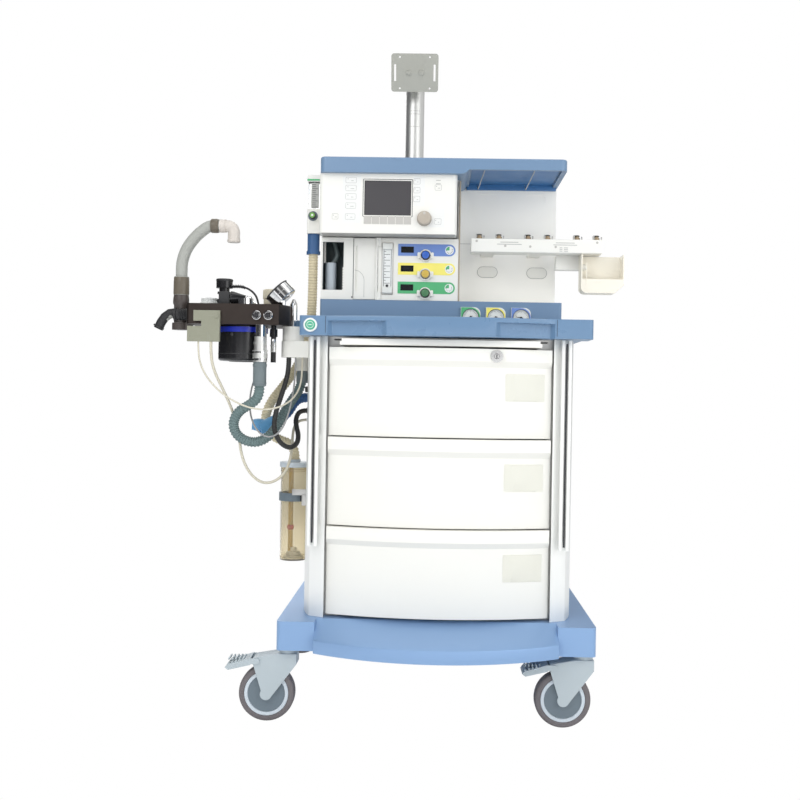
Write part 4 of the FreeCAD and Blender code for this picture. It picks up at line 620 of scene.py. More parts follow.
CUFF_GREY = Moulded("cuff_grey", (0.15, 0.185, 0.195), "grey_hose", rough=0.5, aged=(0.2, 0.23, 0.24))
CUFF_BROWN = Moulded("cuff_brown", (0.125, 0.105, 0.077), "arm_grey", rough=0.36, aged=(0.22, 0.19, 0.15))
CUFF_DARK = Moulded("cuff_dark", (0.062, 0.05, 0.045), "arm_grey", rough=0.38, aged=(0.15, 0.13, 0.12))
CUFF_LIGHT_BLUE = Moulded("cuff_light_blue", (0.12, 0.37, 0.66), "light_grey_plastic", rough=0.42,
                          aged=(0.25, 0.45, 0.68))
CUFF_NAVY = Moulded("cuff_navy", (0.035, 0.105, 0.25), "white_plastic", rough=0.42, aged=(0.1, 0.2, 0.4))
ELBOW = Moulded("elbow_shell", (0.60, 0.55, 0.50), "arm_grey", rough=0.34, aged=(0.66, 0.6, 0.52))
ARM = Rubber("arm_sleeve", (0.345, 0.35, 0.32), "arm_grey", rough=0.5, bloom=0.3,
             bloom_colour=(0.5, 0.5, 0.47))
OLIVE = Painted("olive_plate", (0.26, 0.262, 0.195), "chrome", worn=0.2, chip=(0.6, 0.6, 0.55), rough=0.45)
BLOCK = Metal("anodised_block", (0.066, 0.054, 0.049), "dark_block", rough=0.42, soil=0.5)
CHROME = Metal("chrome", (0.78, 0.78, 0.77), "chrome", rough=0.09, soil=0.35)
STEEL = Metal("satin_steel", (0.56, 0.555, 0.54), "galvanised", rough=0.34, brushed=0.35)
ALUMINIUM = Metal("aluminium", (0.90, 0.895, 0.87), "aluminium", rough=0.42, brushed=0.3, soil=0.1)
PLATE_STEEL = Painted("plate_steel", (0.29, 0.29, 0.26), "plate_steel", rough=0.45, worn=0.8,
                      chip=(0.6, 0.58, 0.5), coat=0.1)
BRASS = Metal("port_brass", (0.42, 0.33, 0.22), "white_paint", rough=0.3, soil=0.8)
TYRE = Rubber("tyre_tread", (0.125, 0.112, 0.118), "wheel_tyre", bloom=0.4, bloom_colour=(0.24, 0.22, 0.22))
GREY_HOSE = Rubber("grey_hose", (0.125, 0.17, 0.18), "grey_hose", rough=0.5,
                   bloom_colour=(0.3, 0.34, 0.34))
BLACK_HOSE = Rubber("black_hose", (0.016, 0.016, 0.017), "black_hose", rough=0.4,
                    bloom_colour=(0.07, 0.07, 0.07))
NAVY_HOSE = Rubber("navy_hose", (0.03, 0.11, 0.30), "blue_hose", rough=0.48, bloom_colour=(0.1, 0.2, 0.4))
BEIGE_HOSE = Rubber("beige_hose", (0.80, 0.71, 0.54), "beige_hose", rough=0.5,
                    bloom_colour=(0.75, 0.68, 0.55))
CREAM_LINE = Rubber("cream_line", (0.62, 0.58, 0.47), "tube", rough=0.5, bloom=0.1,
                    bloom_colour=(0.56, 0.5, 0.38))
GREY_LINE = Rubber("grey_line", (0.30, 0.30, 0.30), "tube", rough=0.5, bloom=0.1,
                   bloom_colour=(0.4, 0.4, 0.38))
CLEAR_LINE = Clear("clear_line", (0.86, 0.87, 0.82), "tube", rough=0.2, through=0.45)
TAN_CLEAR = Clear("aged_clear", (0.93, 0.86, 0.70), "clear_plastic", rough=0.05, through=0.9)
GLASS = Clear("tube_glass", (0.93, 0.94, 0.92), "clear_plastic", rough=0.03, through=0.9)
POCKET = Clear("label_pocket", (0.90, 0.89, 0.80), "white_plastic", rough=0.3, through=0.25)
SCREEN = Screen("screen", (0.048, 0.043, 0.049), "screen")
GAS_SCREEN = Screen("gas_screen", (0.006, 0.008, 0.009), "screen")
GREEN_FACE = Moulded("green_face", (0.17, 0.42, 0.08), "green_plastic", rough=0.3, ageing=0.05)
GREEN_KNOB = Moulded("green_knob", (0.05, 0.19, 0.075), "knob_plastic", rough=0.34, ageing=0.05)
DIAL_FACE = Ink("dial_face", (0.78, 0.79, 0.75), "gauge")
INK_BLACK = Ink("ink_black", (0.02, 0.02, 0.022), "white_plastic")
INK_GREY = Ink("ink_grey", (0.42, 0.42, 0.40), "white_plastic")
INK_RED = Ink("ink_red", (0.55, 0.06, 0.04), "gauge")
BAND_BLUE = Ink("band_blue", (0.16, 0.27, 0.62), "white_plastic")
BAND_YELLOW = Ink("band_yellow", (0.93, 0.83, 0.18), "white_plastic")
BAND_GREEN = Ink("band_green", (0.09, 0.46, 0.19), "white_plastic")
BAND_WHITE = Ink("band_white", (0.84, 0.85, 0.83), "white_plastic")
# Near-black ink for painted shade: in slots, keyways, gaps, along seams and steps, and round the screen's edge.
SEAM_SHADOW = Ink("seam_shadow", (0.035, 0.035, 0.04), "white_plastic", rough=0.8)
EDGE_BROWN = Moulded("edge_strip", (0.42, 0.35, 0.265), "white_paint", rough=0.5)


# ---- shapes -------------------------------------------------------------------------------------
def soften(mesh: bmesh.types.BMesh, width: float, segments: int = 2, angle: float = 35.0) -> None:
    """Bevels the long sharp edges, and leaves any edge that runs into a fine curve.

    Args:
        mesh: the mesh, in metres.
        width: bevel width in millimetres.
        segments: bevel segments.
        angle: least angle between two faces, in degrees.
    """
    limit = math.radians(angle)
    sharp = [e for e in mesh.edges if len(e.link_faces) == 2 and e.calc_face_angle(0.0) > limit]
    short = {v for e in sharp if e.calc_length() < 3.2 * width * MM for v in e.verts}
    chosen = [e for e in sharp if not short.intersection(e.verts)]
    if chosen:
        bmesh.ops.bevel(mesh, geom=chosen, offset=width * MM, segments=segments, profile=0.6,
                        affect="EDGES", clamp_overlap=True)


def brick(low: Vector, high: Vector, bevel: float = 0.0) -> bmesh.types.BMesh:
    """A box between two corners.

    Args:
        low, high: corners in metres.
        bevel: bevel width in millimetres.

    Returns:
        The mesh.
    """
    mesh = bmesh.new()
    size = high - low
    place = Matrix.Translation((low + high) / 2) @ Matrix.Diagonal((*size, 1))
    bmesh.ops.create_cube(mesh, size=1.0, matrix=place)
    if bevel:
        soften(mesh, bevel)
    return mesh


def facing(axis: Vector) -> tuple[Vector, Vector]:
    """Two directions square to an axis: a panel's right and its up.

    Args:
        axis: the direction that the panel faces.

    Returns:
        Right and up.
    """
    axis = axis.normalized()
    up = Vector((0, 0, 1)) if abs(axis.z) < 0.9 else Vector((0, 1, 0))
    right = up.cross(axis).normalized()
    return right, axis.cross(right).normalized()


def turned(profile: Outline, at: Vector, axis: Vector, segments: int = 48,
           flutes: int = 0, flute_depth: float = 0.0, ring: bool = False) -> bmesh.types.BMesh:
    """A body turned about an axis.

    Args:
        profile: distance along the axis and radius, in millimetres, from one end to the other.
        at: where the axis starts, in metres.
        axis: its direction.
        segments: facets around.
        flutes: number of flutes around.
        flute_depth: how deep they are, as a share of the radius.
        ring: whether the profile is closed, so that the body has a hole through it.

    Returns:
        The mesh.
    """
    mesh = bmesh.new()
    right, up = facing(axis)
    along = axis.normalized()
    rings = []
    for distance, radius in profile:
        centre = at + along * distance * MM
        if radius <= 0.001:
            rings.append([mesh.verts.new(centre)])
            continue
        loop = []
        for i in range(segments):
            turn = 2 * math.pi * i / segments
            reach = radius * (1 - flute_depth * (0.5 - 0.5 * math.cos(flutes * turn))) * MM
            loop.append(mesh.verts.new(centre + (right * math.cos(turn) + up * math.sin(turn)) * reach))
        rings.append(loop)
    for first, second in zip(rings, rings[1:] + (rings[:1] if ring else [])):
        for i in range(segments):
            j = (i + 1) % segments
            if len(first) == 1 and len(second) == 1:
                continue
            if len(first) == 1:
                mesh.faces.new((first[0], second[j], second[i]))
            elif len(second) == 1:
                mesh.faces.new((first[i], first[j], second[0]))
            else:
                mesh.faces.new((first[i], first[j], second[j], second[i]))
    for loop in () if ring else (rings[0], rings[-1]):
        if len(loop) > 2:
            mesh.faces.new(loop)
    bmesh.ops.recalc_face_normals(mesh, faces=mesh.faces)
    return mesh


def extruded(outline: Outline, at: Vector, axis: Vector, depth: float,
             bevel: float = 0.0) -> bmesh.types.BMesh:
    """An outline pushed out along an axis.

    Args:
        outline: points in millimetres, to the right and up as seen from the front of the panel.
        at: the outline's origin, in metres.
        axis: the direction that the panel faces.
        depth: thickness in millimetres, from the origin along the axis.
        bevel: bevel width in millimetres.

    Returns:
        The mesh.
    """
    mesh = bmesh.new()
    right, up = facing(axis)
    out = axis.normalized() * depth * MM
    near = [mesh.verts.new(at + (right * u + up * v) * MM) for u, v in outline]
    far = [mesh.verts.new(v.co + out) for v in near]
    mesh.faces.new(near)
    mesh.faces.new(far)
    for i in range(len(near)):
        j = (i + 1) % len(near)
        mesh.faces.new((near[i], near[j], far[j], far[i]))
    bmesh.ops.recalc_face_normals(mesh, faces=mesh.faces)
    if bevel:
        soften(mesh, bevel)
    return mesh


def rounded_outline(width: float, height: float, radius: float, x: float = 0.0, z: float = 0.0,
                    steps: int = 6) -> list[tuple[float, float]]:
    """A rectangle with round corners.

    Args:
        width, height: its size in millimetres.
        radius: corner radius.
        x, z: its middle.
        steps: facets for each corner.

    Returns:
        The outline.
    """
    radius = min(radius, width / 2 - 0.01, height / 2 - 0.01)
    points = []
    for quarter, (sx, sz) in enumerate(((1, 1), (-1, 1), (-1, -1), (1, -1))):
        for i in range(steps + 1):
            turn = math.pi / 2 * (quarter + i / steps)
            points.append((x + sx * (width / 2 - radius) + radius * math.cos(turn),
                           z + sz * (height / 2 - radius) + radius * math.sin(turn)))
    return points


def framed(width: float, height: float, border: float, radius: float, at: Vector, axis: Vector,
           depth: float) -> bmesh.types.BMesh:
    """A thin frame around a rectangle.

    Args:
        width, height: outer size in millimetres.
        border: width of its border.
        radius: outer corner radius.
        at: its middle in metres.
        axis: the direction it faces.
        depth: thickness in millimetres.

    Returns:
        The mesh.
    """
    outer = rounded_outline(width, height, radius)
    inner = rounded_outline(width - 2 * border, height - 2 * border, max(radius - border, 0.2))
    mesh = bmesh.new()
    right, up = facing(axis)
    out = axis.normalized() * depth * MM
    loops = []
    for outline, lift in ((outer, 0), (outer, 1), (inner, 1), (inner, 0)):
        loops.append([mesh.verts.new(at + (right * u + up * v) * MM + out * lift) for u, v in outline])
    for first, second in zip(loops, loops[1:] + loops[:1]):
        for i in range(len(outer)):
            j = (i + 1) % len(outer)
            mesh.faces.new((first[i], first[j], second[j], second[i]))
    bmesh.ops.recalc_face_normals(mesh, faces=mesh.faces)
    return mesh


def swept(path: Sequence[Vector], radius: float | Callable[[float], float], segments: int = 16,
          ends: bool = True) -> bmesh.types.BMesh:
    """A tube along a path.

    Args:
        path: points in metres.
        radius: in millimetres, or a function of the distance along the path in millimetres.
        segments: facets around.
        ends: whether its ends are closed.

    Returns:
        The mesh.
    """
    mesh = bmesh.new()
    tangents = [(path[min(i + 1, len(path) - 1)] - path[max(i - 1, 0)]).normalized()
                for i in range(len(path))]
    side = tangents[0].orthogonal().normalized()
    run, rings = 0.0, []
    for i, (point, tangent) in enumerate(zip(path, tangents)):
        if i:
            run += (point - path[i - 1]).length / MM
            side = (side - tangent * side.dot(tangent)).normalized()
        other = tangent.cross(side)
        reach = (radius(run) if callable(radius) else radius) * MM
        rings.append([mesh.verts.new(point + (side * math.cos(t) + other * math.sin(t)) * reach)
                      for t in (2 * math.pi * k / segments for k in range(segments))])
    for first, second in zip(rings, rings[1:]):
        for i in range(segments):
            j = (i + 1) % segments
            mesh.faces.new((first[i], first[j], second[j], second[i]))
    if ends:
        mesh.faces.new(rings[0])
        mesh.faces.new(rings[-1])
    bmesh.ops.recalc_face_normals(mesh, faces=mesh.faces)
    return mesh


def merged(meshes: Iterable[bmesh.types.BMesh]) -> bmesh.types.BMesh:
    """Several meshes as one.

    Args:
        meshes: the meshes, which are freed.

    Returns:
        The mesh that holds them all.
    """
    whole = bmesh.new()
    for mesh in meshes:
        part = bpy.data.meshes.new("part")
        mesh.to_mesh(part)
        mesh.free()
        whole.from_mesh(part)
        bpy.data.meshes.remove(part)
    return whole


def piece(name: str, mesh: bmesh.types.BMesh, finish: Finish, body: str = ROOT,
          angle: float = 38.0) -> bpy.types.Object:
    """Turns a mesh into an object that has a finish and rides on a body.

    Args:
        name: the object's name.
        mesh: the mesh, which is freed.
        finish: its finish.
        body: the CAD body it rides on, or an empty string for none yet.
        angle: edges sharper than this stay sharp, in degrees.

    Returns:
        The object.
    """
    data = bpy.data.meshes.new(name)
    mesh.to_mesh(data)
    mesh.free()
    data.shade_smooth()
    data.set_sharp_from_angle(angle=math.radians(angle))
    data.materials.append(finish.material())
    made = bpy.data.objects.new(name, data)
    bpy.context.scene.collection.objects.link(made)
    if body:
        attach(made, body)
    return made


@dataclass
class Restyled:
    """A CAD node shown as softened copies of its loose parts, each with its own finish.

    Args:
        node: the CAD node.
        finish: what its parts have unless a point is nearer to them.
        others: pairs of a point in the design and the finish of the part nearest to it.
        bevel: bevel width in millimetres.
    """

    node: str
    finish: Finish
    others: Sequence[tuple[Point, Finish]] = ()
    bevel: float = 0.8
    made: list[bpy.types.Object] = field(default_factory=list)

    def build(self, cart: Cart, body: str) -> list[bpy.types.Object]:
        """Makes the copies and hides the node.

        Args:
            cart: the design's frame.
            body: the body that they ride on.

        Returns:
            The objects.
        """
        source = bmesh.new()
        source.from_mesh(bpy.data.objects[self.node].data)
        bmesh.ops.remove_doubles(source, verts=source.verts, dist=2e-6)
        islands = self._islands(source)
        chosen = [self.finish] * len(islands)
        for point, finish in self.others:
            target = cart.at(*point)
            gaps = [(self._middle(island) - target).length for island in islands]
            chosen[gaps.index(min(gaps))] = finish
        for index, (island, finish) in enumerate(zip(islands, chosen)):
            mesh = self._copy(island)
            bmesh.ops.join_triangles(mesh, faces=mesh.faces, angle_face_threshold=math.radians(0.6),
                                     angle_shape_threshold=math.radians(30))
            if self.bevel:
                soften(mesh, self.bevel)
            self.made.append(piece(f"{self.node}_look_{index + 1}", mesh, finish, body))
        source.free()
        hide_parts(self.node)
        return self.made

    @staticmethod
    def _islands(mesh: bmesh.types.BMesh) -> list[list[bmesh.types.BMVert]]:
        """The mesh's loose parts, each as its vertices."""
        seen: set[bmesh.types.BMVert] = set()
        islands = []
        for start in mesh.verts:
            if start in seen:
                continue
            seen.add(start)
            stack, island = [start], []
            while stack:
                vert = stack.pop()
                island.append(vert)
                for edge in vert.link_edges:
                    other = edge.other_vert(vert)
                    if other not in seen:
                        seen.add(other)
                        stack.append(other)
            islands.append(island)
        return islands

    @staticmethod
    def _middle(island: Sequence[bmesh.types.BMVert]) -> Vector:
        """Middle of a part's box."""
        low = Vector([min(v.co[i] for v in island) for i in range(3)])
        high = Vector([max(v.co[i] for v in island) for i in range(3)])
        return (low + high) / 2

    @staticmethod
    def _copy(island: Sequence[bmesh.types.BMVert]) -> bmesh.types.BMesh:
        """A new mesh of one loose part."""
        mesh = bmesh.new()
        verts = {v: mesh.verts.new(v.co) for v in island}
        for face in {f for v in island for f in v.link_faces}:
            try:
                mesh.faces.new([verts[v] for v in face.verts])
            except ValueError:
                LOG.debug("a doubled face was left out")
        return mesh


# ---- sub-assemblies -----------------------------------------------------------------------------
@dataclass
class Caster:
    """One braked or plain caster: fork, tyre with its rim and hub, and a ribbed pedal.

    Args:
        key: fl, fr, rl or rr.
        radius, width: of the wheel, in millimetres.
        tyre: tyre thickness.
        rim: width of the pale rim ring.
    """

    key: str
    radius: float = 62.5
    width: float = 32.0
    tyre: float = 13.0
    rim: float = 8.0
    crown: float = 4.0
    rib_count: int = 5
    rib_pitch: float = 8.0

    def build(self, cart: Cart) -> None:
        """Makes every piece of the caster."""
        Restyled(f"fork_{self.key}", LIGHT_GREY, bevel=1.6).build(cart, f"fork_{self.key}")
        self._wheel()
        if self.key in ("fl", "fr"):
            Restyled(f"brake_pedal_{self.key}", LIGHT_GREY, bevel=1.2).build(
                cart, f"brake_pedal_{self.key}")
            self._ribs()

    def _wheel(self) -> None:
        """Tyre with a crowned tread, a pale rim ring and a recessed hub disc on both sides."""
        body = f"wheel_{self.key}"
        low, high = (Vector(c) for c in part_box(body))
        middle = (low + high) / 2
        start = Vector((middle.x, low.y, middle.z))
        inner = self.radius - self.tyre
        edge = self.crown
        tread = [(1.5, inner), (0.0, inner + 1.5), (0.0, self.radius - edge - 2),
                 (1.2, self.radius - edge + 1.2), (edge, self.radius - 0.6), (edge + 4, self.radius),
                 (self.width - edge - 4, self.radius), (self.width - edge, self.radius - 0.6),
                 (self.width - 1.2, self.radius - edge + 1.2), (self.width, self.radius - edge - 2),
                 (self.width, inner + 1.5), (self.width - 1.5, inner)]
        tyre = piece(f"{body}_tyre", turned(tread, start, Axis.BACK.value, 96, ring=True), TYRE, body)
        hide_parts(body)
        self._rings(body, start, inner)

    def _rings(self, body: str, start: Vector, inner: float) -> None:
        """Rim rings, hub discs and axle caps on both sides of the wheel."""
        rims, hubs, caps = [], [], []
        for axis, origin in ((Axis.FRONT.value, start),
                             (Axis.BACK.value, start + Axis.BACK.value * self.width * MM)):
            rims.append(turned([(-3, inner - 0.2), (-0.5, inner - 0.2), (0.35, inner - 1.2),
                                (0.35, inner - self.rim + 1), (-1.2, inner - self.rim),
                                (-3, inner - self.rim)], origin, axis, 96, ring=True))
            hubs.append(turned([(-6, inner - self.rim + 0.5), (-1.6, inner - self.rim),
                                (-2.4, inner - self.rim - 5), (-2.0, 22), (0.2, 15), (0.2, 0)],
                               origin, axis, 96))
            caps.append(turned([(-1, 8.5), (0.5, 8.5), (1.0, 7.5), (1.0, 0)], origin, axis, 6))
        piece(f"{body}_rims", merged(rims), RIM_GREY, body)
        piece(f"{body}_hubs", merged(hubs), HUB_GREY, body)
        piece(f"{body}_axle_caps", merged(caps), STEEL, body)

    def _ribs(self) -> None:
        """Raised ribs along the pedal's tread."""
        node = f"brake_pedal_{self.key}"
        low, high = (Vector(c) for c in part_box(node))
        ribs = []
        for i in range(self.rib_count):
            x = low.x + (6 + self.rib_pitch * i) * MM
            ribs.append(brick(Vector((x, low.y + 9 * MM, high.z - 7 * MM)),
                              Vector((x + 3 * MM, high.y - 9 * MM, high.z - 2.5 * MM + i * 0.2 * MM)), 0.8))
        piece(f"{node}_ribs", merged(ribs), LIGHT_GREY, node)


@dataclass
class CartBody:
    """Base, cabinet, accessory rails, drawer runners, gas inlets and the four casters."""

    slot_width: float = 4.0
    bolt: float = 4.0

    def build(self, cart: Cart) -> None:
        """Makes the base and the cabinet."""
        Restyled("base_frame", BLUE_PAINT, bevel=2.5).build(cart, ROOT)
        Restyled("cabinet_sides", WHITE_PAINT, bevel=0.6).build(cart, ROOT)
        Restyled("cabinet_frame", STEEL, bevel=0.0).build(cart, ROOT)
        Restyled("drawer_runners", STEEL, bevel=0.0).build(cart, ROOT)
        Restyled("accessory_rails", WHITE_PAINT, bevel=0.8).build(cart, ROOT)
        Restyled("gas_inlets", ALUMINIUM, bevel=0.8).build(cart, ROOT)
        for key in ("fl", "fr", "rl", "rr"):
            Caster(key).build(cart)
        self._rail_slot_shades()
        self._back_screws(cart)

    def _rail_slot_shades(self) -> None:
        """Painted shade: a dark strip down the front of each accessory rail, where its slot is."""
        panel = Panel("accessory_rails")
        width, _, height = panel.size
        slot_shades = [brick(panel.at(x, 8, -0.6), panel.at(x + self.slot_width, height - 8, 0.15))
                 for x in (11 - self.slot_width / 2, width - 11 - self.slot_width / 2)]
        piece("accessory_rail_slot_shades", merged(slot_shades), SEAM_SHADOW)

    def _back_screws(self, cart: Cart) -> None:
        """Screw heads around the rear panel."""
        spots = [(x, z) for x in (-292, 0, 292) for z in (250, 550, 845) if (x, z) != (0, 550)]
        heads = [turned([(-1, self.bolt), (1.2, self.bolt), (2.0, self.bolt - 1.2), (2.0, 0)],
                        cart.at(x, 290, z), Axis.BACK.value, 24) for x, z in spots]
        piece("rear_panel_screws", merged(heads), STEEL)


@dataclass
class Drawers:
    """Three drawers, their label pockets, and the cam lock on the top one."""

    count: int = 3
    card_margin: float = 2.4

    def build(self, cart: Cart) -> None:
        """Makes every drawer."""
        for index in range(1, self.count + 1):
            node = f"drawer_{index}"
            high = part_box(node)[1].z / MM
            Restyled(node, WHITE_SHELL, bevel=1.6,
                     others=[((0, -35, high - 115), STEEL), ((190, -289, high - 85), POCKET)]).build(
                cart, node)
        self._lock(cart)

    def _lock(self, cart: Cart) -> None:
        """Lock barrel and its collar, with painted shade in the keyway and in the gap round the core."""
        Restyled("drawer_lock", CHROME, bevel=0.0).build(cart, "drawer_lock")
        panel = Panel("drawer_lock")
        width, _, height = panel.size
        middle = panel.at(width / 2, height / 2, 0.1)
        slot = extruded(rounded_outline(2.0, 9.0, 0.8), middle, Axis.FRONT.value, 0.3)
        core_gap_shade = turned([(0, 6.2), (0.15, 6.2), (0.15, 5.4), (0, 5.4)], middle, Axis.FRONT.value, 32,
                      ring=True)
        piece("drawer_lock_keyway_shade", merged([slot, core_gap_shade]), SEAM_SHADOW, "drawer_lock")


@dataclass
class Worktop:
    """Worktop, flush button with its badge ring, and the writing tray under it."""

    ring: float = 15.0

    def build(self, cart: Cart) -> None:
        """Makes the worktop and what is in it."""
        Restyled("worktop", BLUE_SHELL, bevel=2.4).build(cart, ROOT)
        Restyled("writing_tray", WHITE_SHELL, bevel=0.8).build(cart, "writing_tray")
        Restyled("flush_button", GREEN, bevel=0.0).build(cart, "flush_button")
        self._badge()
        self._bulge_edges(cart)

    def _badge(self) -> None:
        """White arc mark on the flush button."""
        panel = Panel("flush_button")
        width, _, height = panel.size
        middle = panel.at(width / 2, height / 2, 0.05)
        ring = turned([(0, 7.6), (0.2, 7.6), (0.2, 6.6), (0, 6.6)], middle, Axis.FRONT.value, 48,
                      ring=True)
        bar = extruded([(-3.5, -0.8), (3.5, -0.8), (3.5, 0.8), (-3.5, 0.8)], middle, Axis.FRONT.value, 0.2)
        piece("flush_button_mark", merged([ring, bar]), BAND_WHITE, "flush_button")
        base = panel.at(width / 2, height / 2, -7.0)
        bezel = turned([(0, self.ring + 0.3), (3.6, self.ring + 0.3), (4.4, self.ring - 0.6),
                        (4.4, self.ring - 3.7), (0, self.ring - 3.9)], base, Axis.FRONT.value, 64,
                       ring=True)
        piece("flush_button_bezel", bezel, BAND_WHITE)

    def _bulge_edges(self, cart: Cart) -> None:
        """Thin dark lines where the corner blocks meet the front rail: painted shade along the step there."""
        seams = [brick(cart.at(x, -322.4, 868), cart.at(x + 0.8, -321.2, 905)) for x in (-256, 255)]
        piece("worktop_step_shade", merged(seams), SEAM_SHADOW)


@dataclass(frozen=True)
class Key:
    """A membrane key: its middle on the panel and its size, in millimetres."""

    x: float
    z: float
    width: float = 22.0
    height: float = 14.0


@dataclass
class DisplayUnit:
    """Display housing with its film keys, softkeys, screen and rotary knob.

    Args:
        keys: outlined keys on the front film.
        films: paler film areas as left, right, low and high.
        softkeys: segments under the screen.
    """

    keys: Sequence[Key] = (
        Key(76, 126, 26), Key(76, 107, 26), Key(76, 87, 26), Key(76, 65, 25), Key(75, 39, 24),
        Key(39, 39, 15), Key(233, 125, 16), Key(233, 104, 16), Key(233, 83, 16), Key(284, 111, 16),
        Key(284, 30, 17))
    films: Sequence[tuple[float, float, float, float]] = ((56, 100, 24, 137), (226, 252, 66, 137), (262, 300, 16, 62))
    softkeys: int = 6
    softkey_height: float = 19.0
    outline: float = 0.7

    def build(self, cart: Cart) -> None:
        """Makes the display unit."""
        Restyled("display_housing", WHITE_SHELL, bevel=3.5).build(cart, ROOT)
        Restyled("display_screen", SCREEN, bevel=0.0).build(cart, ROOT)
        panel = Panel("display_housing")
        self._films(panel)
        self._keys(panel)
        self._screen(panel)
        self._skirt(panel)
        self._dial()

    def _films(self, panel: Panel) -> None:
        """Paler film under the keys."""
        sheets = [extruded(rounded_outline(right - left, high - low, 3), panel.at(
            (left + right) / 2, (low + high) / 2, 0.05), Axis.FRONT.value, 0.15)
            for left, right, low, high in self.films]
        piece("display_films", merged(sheets), KEYPAD)

    def _keys(self, panel: Panel) -> None:
        """Key outlines, each with a small generic mark."""
        frames, marks = [], []
        for index, key in enumerate(self.keys):
            middle = panel.at(key.x, key.z, 0.2)
            frames.append(framed(key.width, key.height, self.outline, 2.5, middle, Axis.FRONT.value, 0.25))
            width = key.width * (0.34 if index % 2 else 0.22)
            marks.append(extruded(rounded_outline(width, 1.2, 0.5, x=key.width * 0.12, z=-1.5), middle,
                                  Axis.FRONT.value, 0.1))
            marks.append(turned([(0, 1.1), (0.1, 1.1), (0.1, 0)], middle + Vector(
                (-key.width * 0.28 * MM, 0, key.height * 0.2 * MM)), Axis.FRONT.value, 12))
        marks += [extruded(rounded_outline(11, 1.3, 0.5), panel.at(284, z, 0.1), Axis.FRONT.value, 0.2)
                  for z in (128, 120)]
        piece("display_key_outlines", merged(frames), INK_GREY)
        piece("display_key_marks", merged(marks), INK_GREY)

    def _screen(self, panel: Panel) -> None:
        """Painted shade as a thin dark frame round the screen's edge, and a strip of softkeys below it."""
        low, high = (Vector(c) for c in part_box("display_screen"))
        width, height = (high.x - low.x) / MM, (high.z - low.z) / MM
        middle = Vector(((low.x + high.x) / 2, panel.low.y, (low.z + high.z) / 2))
        piece("display_screen_edge_shade", framed(width - 1, height - 1, 1.3, 1.6, middle,
                                             Axis.FRONT.value, 0.4), SEAM_SHADOW)
        step = (width - 6) / self.softkeys
        keys = []
        for i in range(self.softkeys):
            at = Vector((low.x + (3 + step * (i + 0.5)) * MM, panel.low.y, low.z - (self.softkey_height / 2 - 2) * MM))
            keys.append(extruded(rounded_outline(step - 0.9, self.softkey_height, 1.0), at,
                                 Axis.FRONT.value, 0.6, 0.25))
        piece("display_softkeys", merged(keys), SOFTKEY)

    @staticmethod
    def _skirt(panel: Panel) -> None:
        """Beige moulding along the lower edge."""
        width = panel.size.x
        lower = brick(panel.at(6, -1.4, -46), panel.at(width - 4, 3.0, -3.0), 1.2)
        piece("display_skirt", lower, SOFTKEY)

    def _dial(self) -> None:
        """Rotary knob with a domed face and a finger dimple."""
        low, high = (Vector(c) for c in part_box("display_dial"))
        radius, depth = (high.x - low.x) / 2 / MM, 16.0
        start = Vector(((low.x + high.x) / 2, low.y + depth * MM, (low.z + high.z) / 2))
        profile = [(0.3, radius + 0.6), (2.0, radius + 0.6), (2.4, radius), (depth - 3, radius - 0.4),
                   (depth - 1.2, radius - 1.6), (depth - 0.2, radius - 4), (depth, radius - 7), (depth, 0)]
        knob = piece("display_dial_knob", turned(profile, start, Axis.FRONT.value, 72), TAUPE, "display_dial")
        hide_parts("display_dial")
        dimple = turned([(0, 3.2), (0.5, 3.0), (0.7, 0)], start + Vector((0, -depth * MM, (radius - 6) * MM)),
                        Axis.FRONT.value, 24)
        piece("display_dial_dimple", dimple, SOFTKEY, "display_dial")


@dataclass(frozen=True)
class GasStrip:
    """One gas's colours: its band, its knob and the body of that knob."""

    name: str
    band: Finish
    cap: Finish


